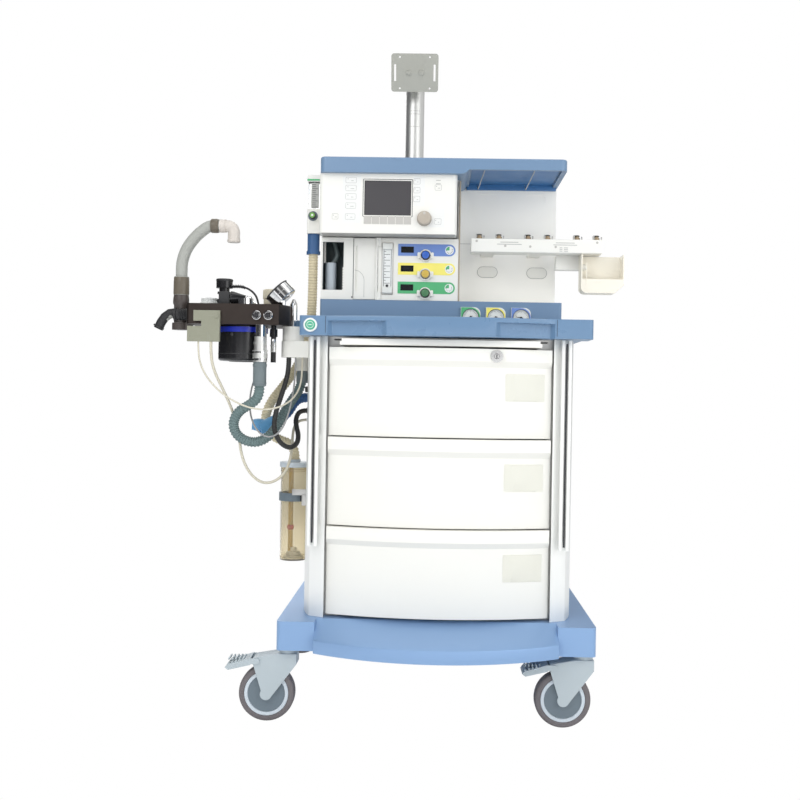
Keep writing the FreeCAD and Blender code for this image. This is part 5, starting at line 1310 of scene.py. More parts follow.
@dataclass
class FlowPanel:
    """Panel with three gas strips, their digital displays, knobs and badges, and the total flow tube.

    Args:
        strips: from the top down.
        left, straight: ends of a strip's straight part, from the panel's left edge.
        height: of a strip.
        rises: how far each strip's middle is above its knob.
    """

    strips: Sequence[GasStrip] = (GasStrip("blue", BAND_BLUE, BLUE_CAP),
                                  GasStrip("yellow", BAND_YELLOW, YELLOW_CAP),
                                  GasStrip("green", BAND_GREEN, GREEN_KNOB))
    left: float = 49.0
    straight: float = 174.0
    height: float = 29.0
    rise: float = 13.5
    display: tuple[float, float] = (31.0, 15.0)
    badge: float = 10.5
    tube: tuple[float, float, float] = (23.5, 77.0, 126.0)

    def build(self, cart: Cart) -> None:
        """Makes the panel, the strips and the flow tube."""
        Restyled("flow_panel", WHITE_SHELL, bevel=0.8).build(cart, ROOT)
        surface = cart.at(-156, -91.3, 963)
        for strip in self.strips:
            self._strip(strip, surface)
            self._knob(strip)
        self._tube_scale(surface)
        Restyled("flow_tubes", GLASS, bevel=0.0,
                 others=[((-132, -82, 979), STEEL), ((-132, -82, 1099), STEEL)]).build(cart, ROOT)

    def _strip(self, strip: GasStrip, surface: Vector) -> None:
        """Coloured strip with a square left end, a round right end, a display and a badge."""
        knob = (Vector(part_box(f"flow_knob_{strip.name}")[0]) + Vector(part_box(f"flow_knob_{strip.name}")[1])) / 2
        z = (knob.z - surface.z) / MM + self.rise
        at = surface + Vector((0, 0, z * MM))
        half = self.height / 2
        outline = [(self.left, -half), (self.straight, -half)]
        outline += [(self.straight + half * math.sin(t), -half * math.cos(t))
                    for t in (math.pi * i / 20 for i in range(1, 20))]
        outline += [(self.straight, half), (self.left, half)]
        piece(f"strip_{strip.name}", extruded(outline, at, Axis.FRONT.value, 0.3), strip.band)
        width, height = self.display
        window = at + Vector(((self.left + 7 + width / 2) * MM, -0.3 * MM, 0.5 * MM))
        piece(f"display_{strip.name}", extruded(rounded_outline(width, height, 0.8), window,
                                                Axis.FRONT.value, 0.5), GAS_SCREEN)
        self._badge(strip, at)

    def _badge(self, strip: GasStrip, at: Vector) -> None:
        """White disc with a green quarter and small ticks."""
        disc = at + Vector(((self.straight) * MM, -0.3 * MM, 0))
        piece(f"badge_{strip.name}", turned([(0, self.badge), (0.3, self.badge), (0.3, 0)], disc,
                                            Axis.FRONT.value, 48), BAND_WHITE)
        quarter = [(0.0, 0.0)] + [(-self.badge * 0.85 * math.sin(t), self.badge * 0.85 * math.cos(t))
                                  for t in (math.pi / 2 * i / 8 for i in range(9))]
        piece(f"badge_quarter_{strip.name}", extruded(quarter, disc + Vector((0, -0.3 * MM, 0)),
                                                      Axis.FRONT.value, 0.2), BAND_GREEN)
        ticks = []
        for i in range(7):
            turn = math.radians(20 - 32 * i)
            spot = disc + Vector((math.cos(turn) * 7, -0.3, math.sin(turn) * 7)) * MM
            ticks.append(turned([(0, 0.9), (0.2, 0.9), (0.2, 0)], spot, Axis.FRONT.value, 8))
        piece(f"badge_ticks_{strip.name}", merged(ticks), INK_BLACK)

    def _knob(self, strip: GasStrip) -> None:
        """Fluted knob with a dark skirt and coloured cap, two guard wings and an arc mark above."""
        body = f"flow_knob_{strip.name}"
        low, high = (Vector(c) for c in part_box(body))
        middle = (low + high) / 2
        radius, depth = (high.x - low.x) / 2 / MM, 16.0
        start = Vector((middle.x, low.y + depth * MM, middle.z))
        skirt = turned([(0.4, radius), (depth - 3, radius), (depth - 2, radius - 0.8), (depth - 2, 0)],
                       start, Axis.FRONT.value, 72, flutes=18, flute_depth=0.09)
        knob = piece(f"{body}_skirt", skirt, BLACK_MATT if strip.name != "yellow" else TAUPE, body)
        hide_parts(body)
        cap = turned([(depth - 2.4, radius - 1.2), (depth - 0.6, radius - 1.4), (depth, radius - 2.4),
                      (depth, 0)], start, Axis.FRONT.value, 48)
        piece(f"{body}_cap", cap, strip.cap, body)
        base = Vector((middle.x, low.y + (depth + 2) * MM, middle.z))
        wings = [extruded(rounded_outline(6.5, 15, 2.5, x=side * 16.5), base, Axis.FRONT.value, 6.5, 0.8)
                 for side in (-1, 1)]
        piece(f"{body}_wings", merged(wings), WHITE_SHELL)
        arc = [(17.2 * math.sin(t), 17.2 * math.cos(t)) for t in (math.radians(-24 + 6 * i) for i in range(9))]
        arc += [(18.6 * math.sin(t), 18.6 * math.cos(t)) for t in (math.radians(24 - 6 * i) for i in range(9))]
        mark = extruded(arc, Vector((middle.x, base.y - 0.2 * MM, middle.z)), Axis.FRONT.value, 1.5)
        piece(f"{body}_arc", mark, INK_BLACK)

    def _tube_scale(self, surface: Vector) -> None:
        """Framed scale behind the total flow tube, graduations, and its two end fittings."""
        x, z, height = self.tube
        middle = surface + Vector((x, 0, z)) * MM
        piece("flow_tube_plate", extruded(rounded_outline(27, height, 1.5), middle, Axis.FRONT.value, 0.4),
              BAND_WHITE)
        piece("flow_tube_frame", framed(27, height, 1.2, 1.5, middle, Axis.FRONT.value, 1.4), SOFTKEY)
        marks = [extruded([(-8, -0.5), (-4 if i % 2 else 6, -0.5), (-4 if i % 2 else 6, 0.5), (-8, 0.5)],
                          middle + Vector((0, -0.4, -36 + 7 * i)) * MM, Axis.FRONT.value, 0.3)
                 for i in range(12)]
        marks += [extruded([(s * 9 - 0.5, -44), (s * 9 + 0.5, -44), (s * 9 + 0.5, 46), (s * 9 - 0.5, 46)],
                           middle + Vector((0, -0.4 * MM, 0)), Axis.FRONT.value, 0.3) for s in (-1, 1)]
        piece("flow_tube_graduations", merged(marks), INK_BLACK)
        ends = [turned([(0, 6.5), (3, 6.5), (3, 4.5), (5, 4.5), (5, 0)],
                       middle + Vector((s * 5.5, 0, side * 53)) * MM, Axis.FRONT.value, 6)
                for side in (-1, 1) for s in (-1, 1)]
        piece("flow_tube_ends", merged(ends), STEEL)
        caps = [brick(middle + Vector((-12, -7, side * 53 - 7)) * MM,
                      middle + Vector((12, -1, side * 53 + 7)) * MM, 1.0) for side in (-1, 1)]
        piece("flow_tube_caps", merged(caps), DIAL_FACE)
        ball = bmesh.new()
        bmesh.ops.create_uvsphere(ball, u_segments=20, v_segments=12, radius=3.4 * MM,
                                  matrix=Matrix.Translation(middle + Vector((0, -9, -43)) * MM))
        piece("flow_tube_float", ball, INK_BLACK)


@dataclass
class VentilatorBay:
    """Window cover with the bellows cylinder behind it, and the hinged door beside it."""

    teeth: int = 9
    tooth: float = 3.4

    def build(self, cart: Cart) -> None:
        """Makes the bay."""
        Restyled("ventilator_cover", WHITE_SHELL, bevel=0.8,
                 others=[((-275, -50, 1010), RIM_GREY)]).build(cart, ROOT)
        Restyled("vent_door", WHITE_SHELL, bevel=0.8).build(cart, "vent_door")
        # Dark back and side sheets inside the window: the window's tint together with painted shade of the bay's
        # inside.
        piece("bay_back_tint_and_shade", brick(cart.at(-292, -22, 965), cart.at(-236, -20, 1113)), BAY_TINT_AND_SHADE)
        sides = [brick(cart.at(x, -82, 965), cart.at(x + 1, -22, 1113)) for x in (-292, -237)]
        piece("bay_sides_tint_and_shade", merged(sides), BAY_TINT_AND_SHADE)
        self._inner(cart)
        self._teeth(cart)
        self._door_marks(cart)

    def _inner(self, cart: Cart) -> None:
        """Dark tube above the cylinder and the pale post at its left."""
        upper = swept(spline_points(cart.route([(-268, -44, 1108), (-262, -46, 1090), (-258, -50, 1070),
                                                (-270, -50, 1056)]), 16), 6.0, 16)
        piece("bay_upper_tube", upper, BAY_TUBE)
        post = brick(cart.at(-291, -72, 1054), cart.at(-286, -60, 1112), 0.8)
        piece("bay_post", post, SOFTKEY)

    def _teeth(self, cart: Cart) -> None:
        """Saw-tooth edge down the right side of the window."""
        outline = [(0.0, 0.0)]
        for i in range(self.teeth):
            outline += [(-self.tooth, (i + 0.25) * 6.4), (0.0, (i + 0.8) * 6.4)]
        outline += [(2.0, self.teeth * 6.4), (2.0, 0.0)]
        piece("window_teeth", extruded(outline, cart.at(-240.5, -86, 986), Axis.FRONT.value, 1.5),
              WHITE_SHELL)

    @staticmethod
    def _door_marks(cart: Cart) -> None:
        """Curved grip line on the door; the seam's end dot and a hairline beside the door, both painted shade."""
        arc = [cart.at(-213 + 24 * math.sin(math.pi / 2 * i / 10), -91.2,
                       1035 - 26 + 26 * math.cos(math.pi / 2 * i / 10)) for i in range(11)]
        arc += [cart.at(-189, -91.2, 1035 - 26 - 5 * i) for i in range(1, 9)]
        piece("door_grip_line", swept(arc, 0.5, 6), INK_GREY, "vent_door")
        dot = turned([(0, 1.7), (0.4, 1.7), (0.4, 0)], cart.at(-218.5, -91, 969), Axis.FRONT.value, 16)
        seam = brick(cart.at(-216.4, -91.15, 966), cart.at(-215.6, -88, 1112))
        piece("bay_seam_shade", merged([dot, seam]), SEAM_SHADOW)


@dataclass
class Console:
    """Blue console strip with the three square-bezelled supply gauges."""

    finishes: Sequence[Finish] = (BAND_GREEN, BAND_YELLOW, BAND_BLUE)
    bezel: float = 46.0
    face: float = 18.0

    def build(self, cart: Cart) -> None:
        """Makes the strip and the gauges."""
        Restyled("console_strip", BLUE_DECK, bevel=2.0).build(cart, ROOT)
        Restyled("supply_gauges", DIAL_FACE, bevel=0.0).build(cart, ROOT)
        low, high = (Vector(c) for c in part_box("supply_gauges"))
        step = (high.x - low.x - (high.z - low.z)) / 2
        for index, finish in enumerate(self.finishes):
            middle = Vector((low.x + (high.z - low.z) / 2 + index * step, low.y, (low.z + high.z) / 2))
            self._gauge(index + 1, finish, middle)

    def _gauge(self, number: int, finish: Finish, middle: Vector) -> None:
        """Coloured bezel with one large round corner, a face, ticks and a needle."""
        half, hole = self.bezel / 2, self.face + 2
        corner = [(half * math.sin(t), half * math.cos(t)) for t in (math.pi / 2 * i / 10 for i in range(11))]
        outer = [(-half, half)] + corner + [(half, -half), (-half, -half)]
        mesh = bmesh.new()
        turns = [2 * math.pi * i / 64 for i in range(64)]
        inner = [(hole * math.cos(t), hole * math.sin(t)) for t in turns]
        ring = [self._reach(outer, t) for t in turns]
        right, up = facing(Axis.FRONT.value)
        loops = [[mesh.verts.new(middle + (right * u + up * v) * MM + Axis.FRONT.value * lift * MM)
                  for u, v in line] for line, lift in ((ring, -0.5), (ring, 0.8), (inner, 0.8), (inner, -0.5))]
        for first, second in zip(loops, loops[1:] + loops[:1]):
            for i in range(64):
                j = (i + 1) % 64
                mesh.faces.new((first[i], first[j], second[j], second[i]))
        bmesh.ops.recalc_face_normals(mesh, faces=mesh.faces)
        piece(f"gauge_bezel_{number}", mesh, finish, angle=30)
        rim = turned([(0.8, hole), (1.4, hole - 0.3), (1.4, hole - 1.2), (-3.0, hole - 1.4)], middle,
                     Axis.FRONT.value, 64, ring=True)
        piece(f"gauge_rim_{number}", rim, BLACK_MATT)
        dial = turned([(-2.4, self.face), (-2.2, self.face), (-2.2, 0)], middle, Axis.FRONT.value, 64)
        piece(f"gauge_face_{number}", dial, DIAL_FACE)
        self._marks(number, middle)

    def _marks(self, number: int, middle: Vector) -> None:
        """Ticks around the face, a needle and its hub."""
        marks = []
        for i in range(21):
            turn = math.radians(225 - 13.5 * i)
            length = 4.0 if i % 5 == 0 else 2.2
            ends = [middle + Vector((math.cos(turn) * r, 2.0, math.sin(turn) * r)) * MM
                    for r in (self.face - 2, self.face - 2 - length)]
            marks.append(swept(ends, 0.35, 4))
        turn = math.radians(230 - 20 * number)
        needle = [middle + Vector((math.cos(turn) * r, 1.4, math.sin(turn) * r)) * MM for r in (-5, 13)]
        marks.append(swept(needle, 0.6, 6))
        marks.append(turned([(-2.2, 2.6), (-0.6, 2.6), (-0.6, 0)], middle, Axis.FRONT.value, 20))
        piece(f"gauge_marks_{number}", merged(marks), INK_BLACK)

    @staticmethod
    def _reach(outline: Outline, turn: float) -> tuple[float, float]:
        """Where a ray from the middle leaves the outline."""
        direction = (math.cos(turn), math.sin(turn))
        best = 1e9
        for (ax, ay), (bx, by) in zip(outline, list(outline[1:]) + [outline[0]]):
            ex, ey = bx - ax, by - ay
            cross = direction[0] * ey - direction[1] * ex
            if abs(cross) < 1e-9:
                continue
            distance = (ax * ey - ay * ex) / cross
            along = (ax * direction[1] - ay * direction[0]) / cross
            if distance > 0 and -1e-6 <= along <= 1 + 1e-6:
                best = min(best, distance)
        return direction[0] * best, direction[1] * best


@dataclass
class HeadUnit:
    """Housing, alcove panel, top deck with two wire hooks, and the brown edge strip."""

    ovals: Sequence[tuple[float, float]] = ((118, 1052), (245, 1051))
    hooks: Sequence[float] = (92.0, 212.0)

    def build(self, cart: Cart) -> None:
        """Makes the head unit around its modules."""
        Restyled("head_housing", WHITE_PAINT, bevel=0.8).build(cart, ROOT)
        Restyled("alcove_panel", PANEL_PAINTED_LIGHT, bevel=0.0).build(cart, ROOT)
        Restyled("top_deck", BLUE_DECK, bevel=2.2).build(cart, ROOT)
        self._underside(cart)
        self._panel_details(cart)
        self._hooks(cart)
        strip = brick(cart.at(40.5, -92, 964), cart.at(43.5, -60, 1256), 0.6)
        piece("alcove_edge_strip", strip, EDGE_BROWN)

    def _panel_details(self, cart: Cart) -> None:
        """Two oval covers with painted shadow rings round them, the seam at the left of the bar and a shallow pressed
        field.
        """
        covers = [extruded(rounded_outline(50, 26, 13, steps=12), cart.at(x, 55.2, z), Axis.FRONT.value,
                           3.0, 1.0) for x, z in self.ovals]
        piece("alcove_ovals", merged(covers), WHITE_SHELL)
        shadows = [framed(53, 29, 1.4, 14.5, cart.at(x, 55.1, z), Axis.FRONT.value, 0.3)
                   for x, z in self.ovals]
        seam = brick(cart.at(44, 54.6, 1123.6), cart.at(74, 55.1, 1124.6))
        piece("alcove_shadow_rings_and_seam", merged([*shadows, seam]), INK_GREY)
        field_low = extruded([(-100, -8), (100, -8), (82, 14), (-82, 14)], cart.at(180, 55.2, 1145),
                             Axis.FRONT.value, 1.4, 0.6)
        piece("alcove_pressing", field_low, PANEL_PAINTED_LIGHT, angle=20)

    @staticmethod
    def _underside(cart: Cart) -> None:
        """Painted shade: darker blue sheets under the hood and at the back of its recess."""
        recess_sheet = brick(cart.at(68, -146, 1275.6), cart.at(279, 54, 1276.8))
        back = brick(cart.at(60, 44, 1262), cart.at(290, 54.5, 1276), 1.0)
        piece("hood_recess_shade", merged([recess_sheet, back]), BLUE_UNDER_SHADE)

    def _hooks(self, cart: Cart) -> None:
        """Two thin wire hooks under the hood."""
        wires = [swept(cart.route([(x + 7, -120, 1276), (x + 5, -100, 1271), (x, -40, 1262),
                                   (x - 3, 10, 1257), (x - 4, 22, 1262), (x - 4, 30, 1272)]), 1.3, 10)
                 for x in self.hooks]
        piece("hood_hooks", merged(wires), STEEL)


@dataclass
class MonitorMast:
    """Column, swivelling head, and the tilting plate with its hole rims."""

    screw: float = 3.0

    def build(self, cart: Cart) -> None:
        """Makes the mast."""
        Restyled("mast", ALUMINIUM, bevel=0.0).build(cart, ROOT)
        Restyled("mast_head", PLATE_STEEL, bevel=0.8).build(cart, "mast_head")
        Restyled("monitor_plate", PLATE_STEEL, bevel=0.5).build(cart, "monitor_plate")
        self._labels(cart)
        self._screws()

    def _labels(self, cart: Cart) -> None:
        """Plain dashes that stand for the column's two height marks."""
        rows = []
        for z in (1421, 1453, 1461):
            for turn in range(-28, 29, 8):
                angle = math.radians(turn)
                at = cart.at(-76 + 24.05 * math.sin(angle), 60 - 24.05 * math.cos(angle), z)
                rows.append(brick(at - Vector((1.1, 0.3, 0.8)) * MM, at + Vector((1.1, 0.3, 0.8)) * MM))
        piece("mast_height_marks", merged(rows), INK_GREY)

    def _screws(self) -> None:
        """Two cap screws in the plate's middle."""
        low, high = (Vector(c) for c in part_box("monitor_plate"))
        middle = Vector(((low.x + high.x) / 2, low.y, (low.z + high.z) / 2))
        tilt = Matrix.Rotation(math.radians(-20), 4, "X")
        axis = (tilt @ Axis.FRONT.value)
        heads = [turned([(-4, self.screw), (0.8, self.screw), (1.2, self.screw - 0.8), (1.2, 0)],
                        middle + Vector((x, 15, 2)) * MM, axis, 20) for x in (-14, 14)]
        piece("monitor_plate_screws", merged(heads), STEEL, "monitor_plate")


@dataclass
class VaporizerBar:
    """Bar with its twin ports, end screws and captions' dashes, and the accessory scoop on its carrier."""

    stations: Sequence[float] = (115.0, 234.5, 354.5)
    port_half: float = 24.0

    def build(self, cart: Cart) -> None:
        """Makes the bar and the scoop."""
        ports = [((x + s * self.port_half, -62, 1124), BRASS) for x in self.stations for s in (-1, 1)]
        Restyled("vaporizer_bar", WHITE_SHELL, bevel=0.8, others=ports).build(cart, ROOT)
        Restyled("accessory_holder", CREAM, bevel=1.4,
                 others=[((336, -21, 1067), WHITE_SHELL)]).build(cart, ROOT)
        self._ports(cart)
        self._marks(cart)

    def _ports(self, cart: Cart) -> None:
        """Rubber seals, side clips and pins on the ports."""
        seals, clips = [], []
        for station in self.stations:
            for side in (-1, 1):
                x = station + side * self.port_half
                seals.append(turned([(9.5, 6.8), (11.8, 6.4), (12.4, 5.0), (12.4, 2.5), (9, 2.5)],
                                    cart.at(x, -62, 1119), Axis.UP.value, 32))
                clips.append(brick(cart.at(x - 8.6, -72, 1119), cart.at(x - 6.4, -52, 1131), 0.4))
                clips.append(turned([(0, 1.6), (8, 1.6), (9, 0.8), (9, 0)], cart.at(x + 11.5, -66, 1119),
                                    Axis.UP.value, 12))
        piece("port_seals", merged(seals), BLACK_MATT)
        piece("port_clips", merged(clips), STEEL)

    def _marks(self, cart: Cart) -> None:
        """Small screws on the bar's face, the carrier's dome and caption dashes."""
        screws = [turned([(0, 3.0), (0.5, 3.0), (0.8, 2.2), (0.8, 0)], cart.at(x, -80, z),
                         Axis.FRONT.value, 20) for x, z in ((84, 1112), (154, 1101), (215, 1100),
                                                            (277, 1100), (378, 1112))]
        piece("bar_screws", merged(screws), SOFTKEY)
        dash = [extruded(rounded_outline(w, 1.5, 0.6), cart.at(x, -80.1, z), Axis.FRONT.value, 0.3)
                for x, z, w in ((164, 1110, 44), (164, 1105, 60), (300, 1110, 46), (300, 1105, 58),
                                (290, 1098, 7), (290, 1094, 7), (290, 1090, 7), (302, 1098, 10),
                                (302, 1094, 10), (302, 1090, 10))]
        piece("bar_caption_dashes", merged(dash), INK_GREY)
        dome = turned([(-1, 9), (2, 9), (4.5, 7), (6, 3.5), (6.3, 0)], cart.at(352, -34, 1056),
                      Axis.FRONT.value, 40)
        fold = brick(cart.at(352, -83.2, 994), cart.at(354, -81.6, 1062), 0.5)
        piece("carrier_dome", dome, WHITE_SHELL)
        piece("scoop_fold", fold, CREAM)


@dataclass
class AuxFlowmeter:
    """Small flowmeter on the display's left side, with a green band, scale, knob badge and cuff."""

    def build(self, cart: Cart) -> None:
        """Makes the flowmeter."""
        Restyled("aux_flowmeter", WHITE_SHELL, bevel=1.0,
                 others=[((-318, -60, 1100), CUFF_NAVY)]).build(cart, ROOT)
        piece("aux_band", brick(cart.at(-333.4, -80.6, 1254), cart.at(-294.6, -70, 1258)), BAND_GREEN)
        piece("aux_badge", turned([(0, 12), (0.8, 12), (0.8, 0)], cart.at(-318, -80, 1167),
                                  Axis.FRONT.value, 40), HUB_GREY)
        piece("aux_scale", extruded(rounded_outline(20, 62, 1), cart.at(-314, -76.1, 1218),
                                    Axis.FRONT.value, 0.4), INK_GREY)
        marks = [extruded([(-7, -0.5), (7 if i % 3 == 0 else 2, -0.5), (7 if i % 3 == 0 else 2, 0.5),
                           (-7, 0.5)], cart.at(-314, -76.6, 1190 + 5 * i), Axis.FRONT.value, 0.3)
                 for i in range(12)]
        piece("aux_graduations", merged(marks), INK_BLACK)
        self._knob()

    @staticmethod
    def _knob() -> None:
        """Fluted knob with a white face."""
        low, high = (Vector(c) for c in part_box("aux_knob"))
        middle = (low + high) / 2
        start = Vector((middle.x, low.y + 16 * MM, middle.z))
        knob = piece("aux_knob_grip", turned([(0.6, 8), (14, 8), (15.4, 7), (15.8, 0)], start,
                                             Axis.FRONT.value, 60, flutes=15, flute_depth=0.1),
                     BLACK_MATT, "aux_knob")
        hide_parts("aux_knob")
        face = turned([(15.2, 6.6), (15.9, 6.4), (15.9, 0)], start, Axis.FRONT.value, 32)
        piece("aux_knob_face", face, GREEN_FACE, "aux_knob")
        mark = turned([(15.9, 2.6), (16.0, 2.4), (16.0, 0)], start, Axis.FRONT.value, 24)
        piece("aux_knob_mark", mark, BAND_WHITE, "aux_knob")


@dataclass
class BreathingSystem:
    """Block with its fittings, absorber canister, bag arm, pressure gauge and valve knob."""

    valve_radius: float = 20.0
    gauge_lean: float = 50.0

    def build(self, cart: Cart) -> None:
        """Makes the swing-out breathing system."""
        Restyled("breathing_block", BLOCK, bevel=1.0).build(cart, SWING)
        Restyled("swing_post", WHITE_SHELL, bevel=0.0,
                 others=[((-347, -180, 920), CHROME)]).build(cart, SWING)
        Restyled("manometer", CHROME, bevel=0.0).build(cart, SWING)
        Restyled("block_fittings", CHROME, bevel=0.0, others=[
            ((-414, -240, 775), CUFF_GREY), ((-387, -218, 845), BLACK), ((-507, -200, 965), BLACK),
            ((-403, -165, 948), STEEL), ((-456, -215, 942), CHROME), ((-546, -150, 941), BAND_WHITE),
            ((-605, -200, 891), CUFF_DARK), ((-540, -260, 882), OLIVE)]).build(cart, SWING)
        Restyled("pivot_bracket", WHITE_SHELL, bevel=1.0).build(cart, ROOT)
        self._fittings(cart)
        self._canister(cart)
        self._arm(cart)
        self._valve()
        self._gauge(cart)
        self._sensor_cable(cart)

    def _fittings(self, cart: Cart) -> None:
        """Ribbed white ring, black sensor box, cone, flat dome, slotted caps and the stepped port."""
        top = 935
        ribbed = turned([(0, 24), (4, 24), (5, 22), (8, 22), (9, 20), (17, 20), (18, 18.5), (18, 0)],
                        cart.at(-546, -176, top), Axis.UP.value, 72, flutes=24, flute_depth=0.04)
        piece("valve_ring_white", ribbed, BAND_WHITE, SWING)
        piece("sensor_box", brick(cart.at(-512, -240, top), cart.at(-488, -214, top + 29), 1.6),
              BLACK_MATT, SWING)
        cone = turned([(0, 15), (6, 14.5), (26, 8), (34, 6)], cart.at(-486, -222, top + 16),
                      Axis.RIGHT.value, 40)
        piece("sensor_cone", cone, BLACK, SWING)
        tip = turned([(33, 6), (38, 5.6), (39, 4.5), (46, 4.2), (47, 3), (47, 0)],
                     cart.at(-486, -222, top + 16), Axis.RIGHT.value, 32)
        piece("sensor_tip", tip, CHROME, SWING)
        dome = turned([(0, 29), (4, 29), (6, 27), (9, 24), (11, 18), (12, 8), (12, 0)],
                      cart.at(-458, -196, top), Axis.UP.value, 64)
        piece("flat_dome", dome, CHROME, SWING)
        discs = [turned([(19, 19.3), (22, 19.8), (24, 18.6), (24, 0)], cart.at(-507, -200, top + 37),
                        Axis.UP.value, 48)]
        discs.append(turned([(0, 17.2), (3, 18), (6, 16)], cart.at(-507, -200, top + 8), Axis.UP.value, 48))
        piece("sensor_discs", merged(discs), BLACK_MATT, SWING)
        caps, slot_shades = [], []
        for x in (-420, -393):
            at = cart.at(x, -261, 909)
            caps.append(turned([(0, 10.4), (2, 10.4), (3, 9.2), (3, 7.2), (4, 6.8), (4, 0)], at,
                               Axis.FRONT.value, 40))
            # Dark crossed strips in the caps' screwdriver slots: painted shade.
            slot_shades.append(extruded([(-6, -1.0), (6, -1.0), (6, 1.0), (-6, 1.0)],
                                  at + Axis.FRONT.value * 6 * MM, Axis.FRONT.value, 0.15))
            slot_shades.append(extruded([(-1.0, -6), (1.0, -6), (1.0, 6), (-1.0, 6)],
                                  at + Axis.FRONT.value * 6 * MM, Axis.FRONT.value, 0.2))
        piece("block_caps", merged(caps), CHROME, SWING)
        piece("block_cap_slot_shades", merged(slot_shades), SEAM_SHADOW, SWING)
        tip = turned([(0, 5), (1, 6.3), (14, 6.3), (14.6, 7), (17, 7), (17.6, 6.3), (30, 6.3), (31, 6)],
                     cart.at(-387, -218, 826), Axis.UP.value, 32)
        piece("probe_sleeve", tip, CHROME, SWING)
        port = turned([(0, 16.5), (3, 16.5), (3.4, 15), (8, 15), (8.4, 17), (20, 17), (20.4, 15.2), (24, 15.2),
                       (24.4, 17.4), (27, 17.4), (27.4, 14), (40, 13.6), (40.4, 15), (46, 15), (46.4, 13.6),
                       (58, 13.6)], cart.at(-414, -240, 803), Axis.UP.value, 56)
        piece("port_rings", port, ALUMINIUM, SWING)
        collar = turned([(0, 15.8), (4, 15.8), (4.4, 15.2), (40, 15.2), (40.4, 16.2), (46, 16.2), (46.4, 15.4)],
                        cart.at(-414, -240, 752), Axis.UP.value, 56)
        piece("port_cuff_ribs", collar, CUFF_GREY, SWING)

    def _canister(self, cart: Cart) -> None:
        """Gloss black canister with a blue ring, a lower seam and a foot."""
        body = "absorber_canister"
        Restyled(body, BLACK, bevel=0.0, others=[((-466, -180, 878), BLUE_RING)]).build(cart, body)
        middle = cart.at(-466, -180, 806)
        seam = turned([(15, 56.4), (17, 56.4)], middle, Axis.UP.value, 96)
        foot = turned([(-2.0, 30), (0.2, 34), (0.2, 0)], middle + Vector((0, 0, 0.2)) * MM, Axis.UP.value, 64)
        piece("canister_seam", merged([seam, foot]), BLACK_MATT, body)
        bolts = [turned([(0, 4), (1.4, 4), (2, 3), (2, 0)],
                        middle + Vector((56.5 * math.sin(t), -56.5 * math.cos(t), 60)) * MM,
                        Vector((math.sin(t), -math.cos(t), 0)), 20)
                 for t in (math.radians(a) for a in (-62, -15, 40, 120, 200))]
        piece("canister_studs", merged(bolts), BLACK_MATT, body)

    def _arm(self, cart: Cart) -> None:
        """Arm in rubber with brown cuffs, ribbed black spool, and the pale elbow."""
        body = "bag_arm"
        Restyled(body, ARM, bevel=0.0, others=[((-496, -200, 1108), ELBOW)]).build(cart, body)
        x, y = -608, -200
        lower = turned([(0, 15.8), (3, 16.4), (40, 16.4), (44, 18.4), (50, 18.6), (54, 18.4), (64, 17.2)],
                       cart.at(x, y, 893), Axis.UP.value, 56)
        upper = turned([(0, 17.8), (4, 18.2), (30, 18.0), (40, 17.4), (42, 16)], cart.at(x, y, 958),
                       Axis.UP.value, 56)
        piece("arm_cuff_lower", lower, CUFF_DARK, body)
        piece("arm_cuff_upper", upper, CUFF_BROWN, body)
        top = turned([(0, 15.6), (2, 16.6), (14, 16.6), (18, 15.4)], cart.at(-540, y, 1120),
                     Axis.RIGHT.value, 48)
        piece("arm_cuff_top", top, CUFF_BROWN, body)
        spool = turned([(0, 10), (1, 14.2), (4, 14.2), (6, 12.6), (9, 14.4), (12, 12.6), (15, 14.4),
                        (18, 12.6), (21, 14.4), (24, 12.6), (29, 12.6), (31, 15), (35, 15), (37, 12)],
                       cart.at(-584, -216, 911), Axis.LEFT.value, 40)
        outlet = swept(cart.route([(-620, y, 916), (-634, y, 914), (-646, y, 905), (-654, y, 893),
                                   (-661, y, 878)]), 10.9, 24)
        flange = turned([(0, 13), (3, 13), (4, 11)], cart.at(-659, y, 884), Vector((-0.45, 0, -0.9)), 32)
        piece("arm_outlet", merged([spool, outlet, flange]), BLACK_MATT, body)
        rims = turned([(0, 14.8), (3, 15.4), (6, 14.8)], cart.at(-487, y, 1083), Axis.UP.value, 48)
        piece("elbow_rim", rims, ELBOW, body)

    def _valve(self) -> None:
        """Ribbed beige knob on the pressure-limiting valve."""
        low, high = (Vector(c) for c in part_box("apl_knob"))
        middle = Vector(((low.x + high.x) / 2, (low.y + high.y) / 2, low.z))
        r = self.valve_radius
        knob = piece("apl_knob_grip", turned([(0.2, r - 2), (11, r - 2), (12, r - 3), (13, r - 0.2),
                                              (32, r - 0.4), (34.5, r - 2), (35.6, r - 5), (36, 0)],
                                             middle, Axis.UP.value, 108, flutes=18, flute_depth=0.1),
                     BEIGE, "apl_knob")
        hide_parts("apl_knob")
        mark = turned([(35.9, 6), (36.0, 5.8), (36.0, 0)], middle, Axis.UP.value, 32)
        piece("apl_knob_top", mark, DIAL_FACE, "apl_knob")

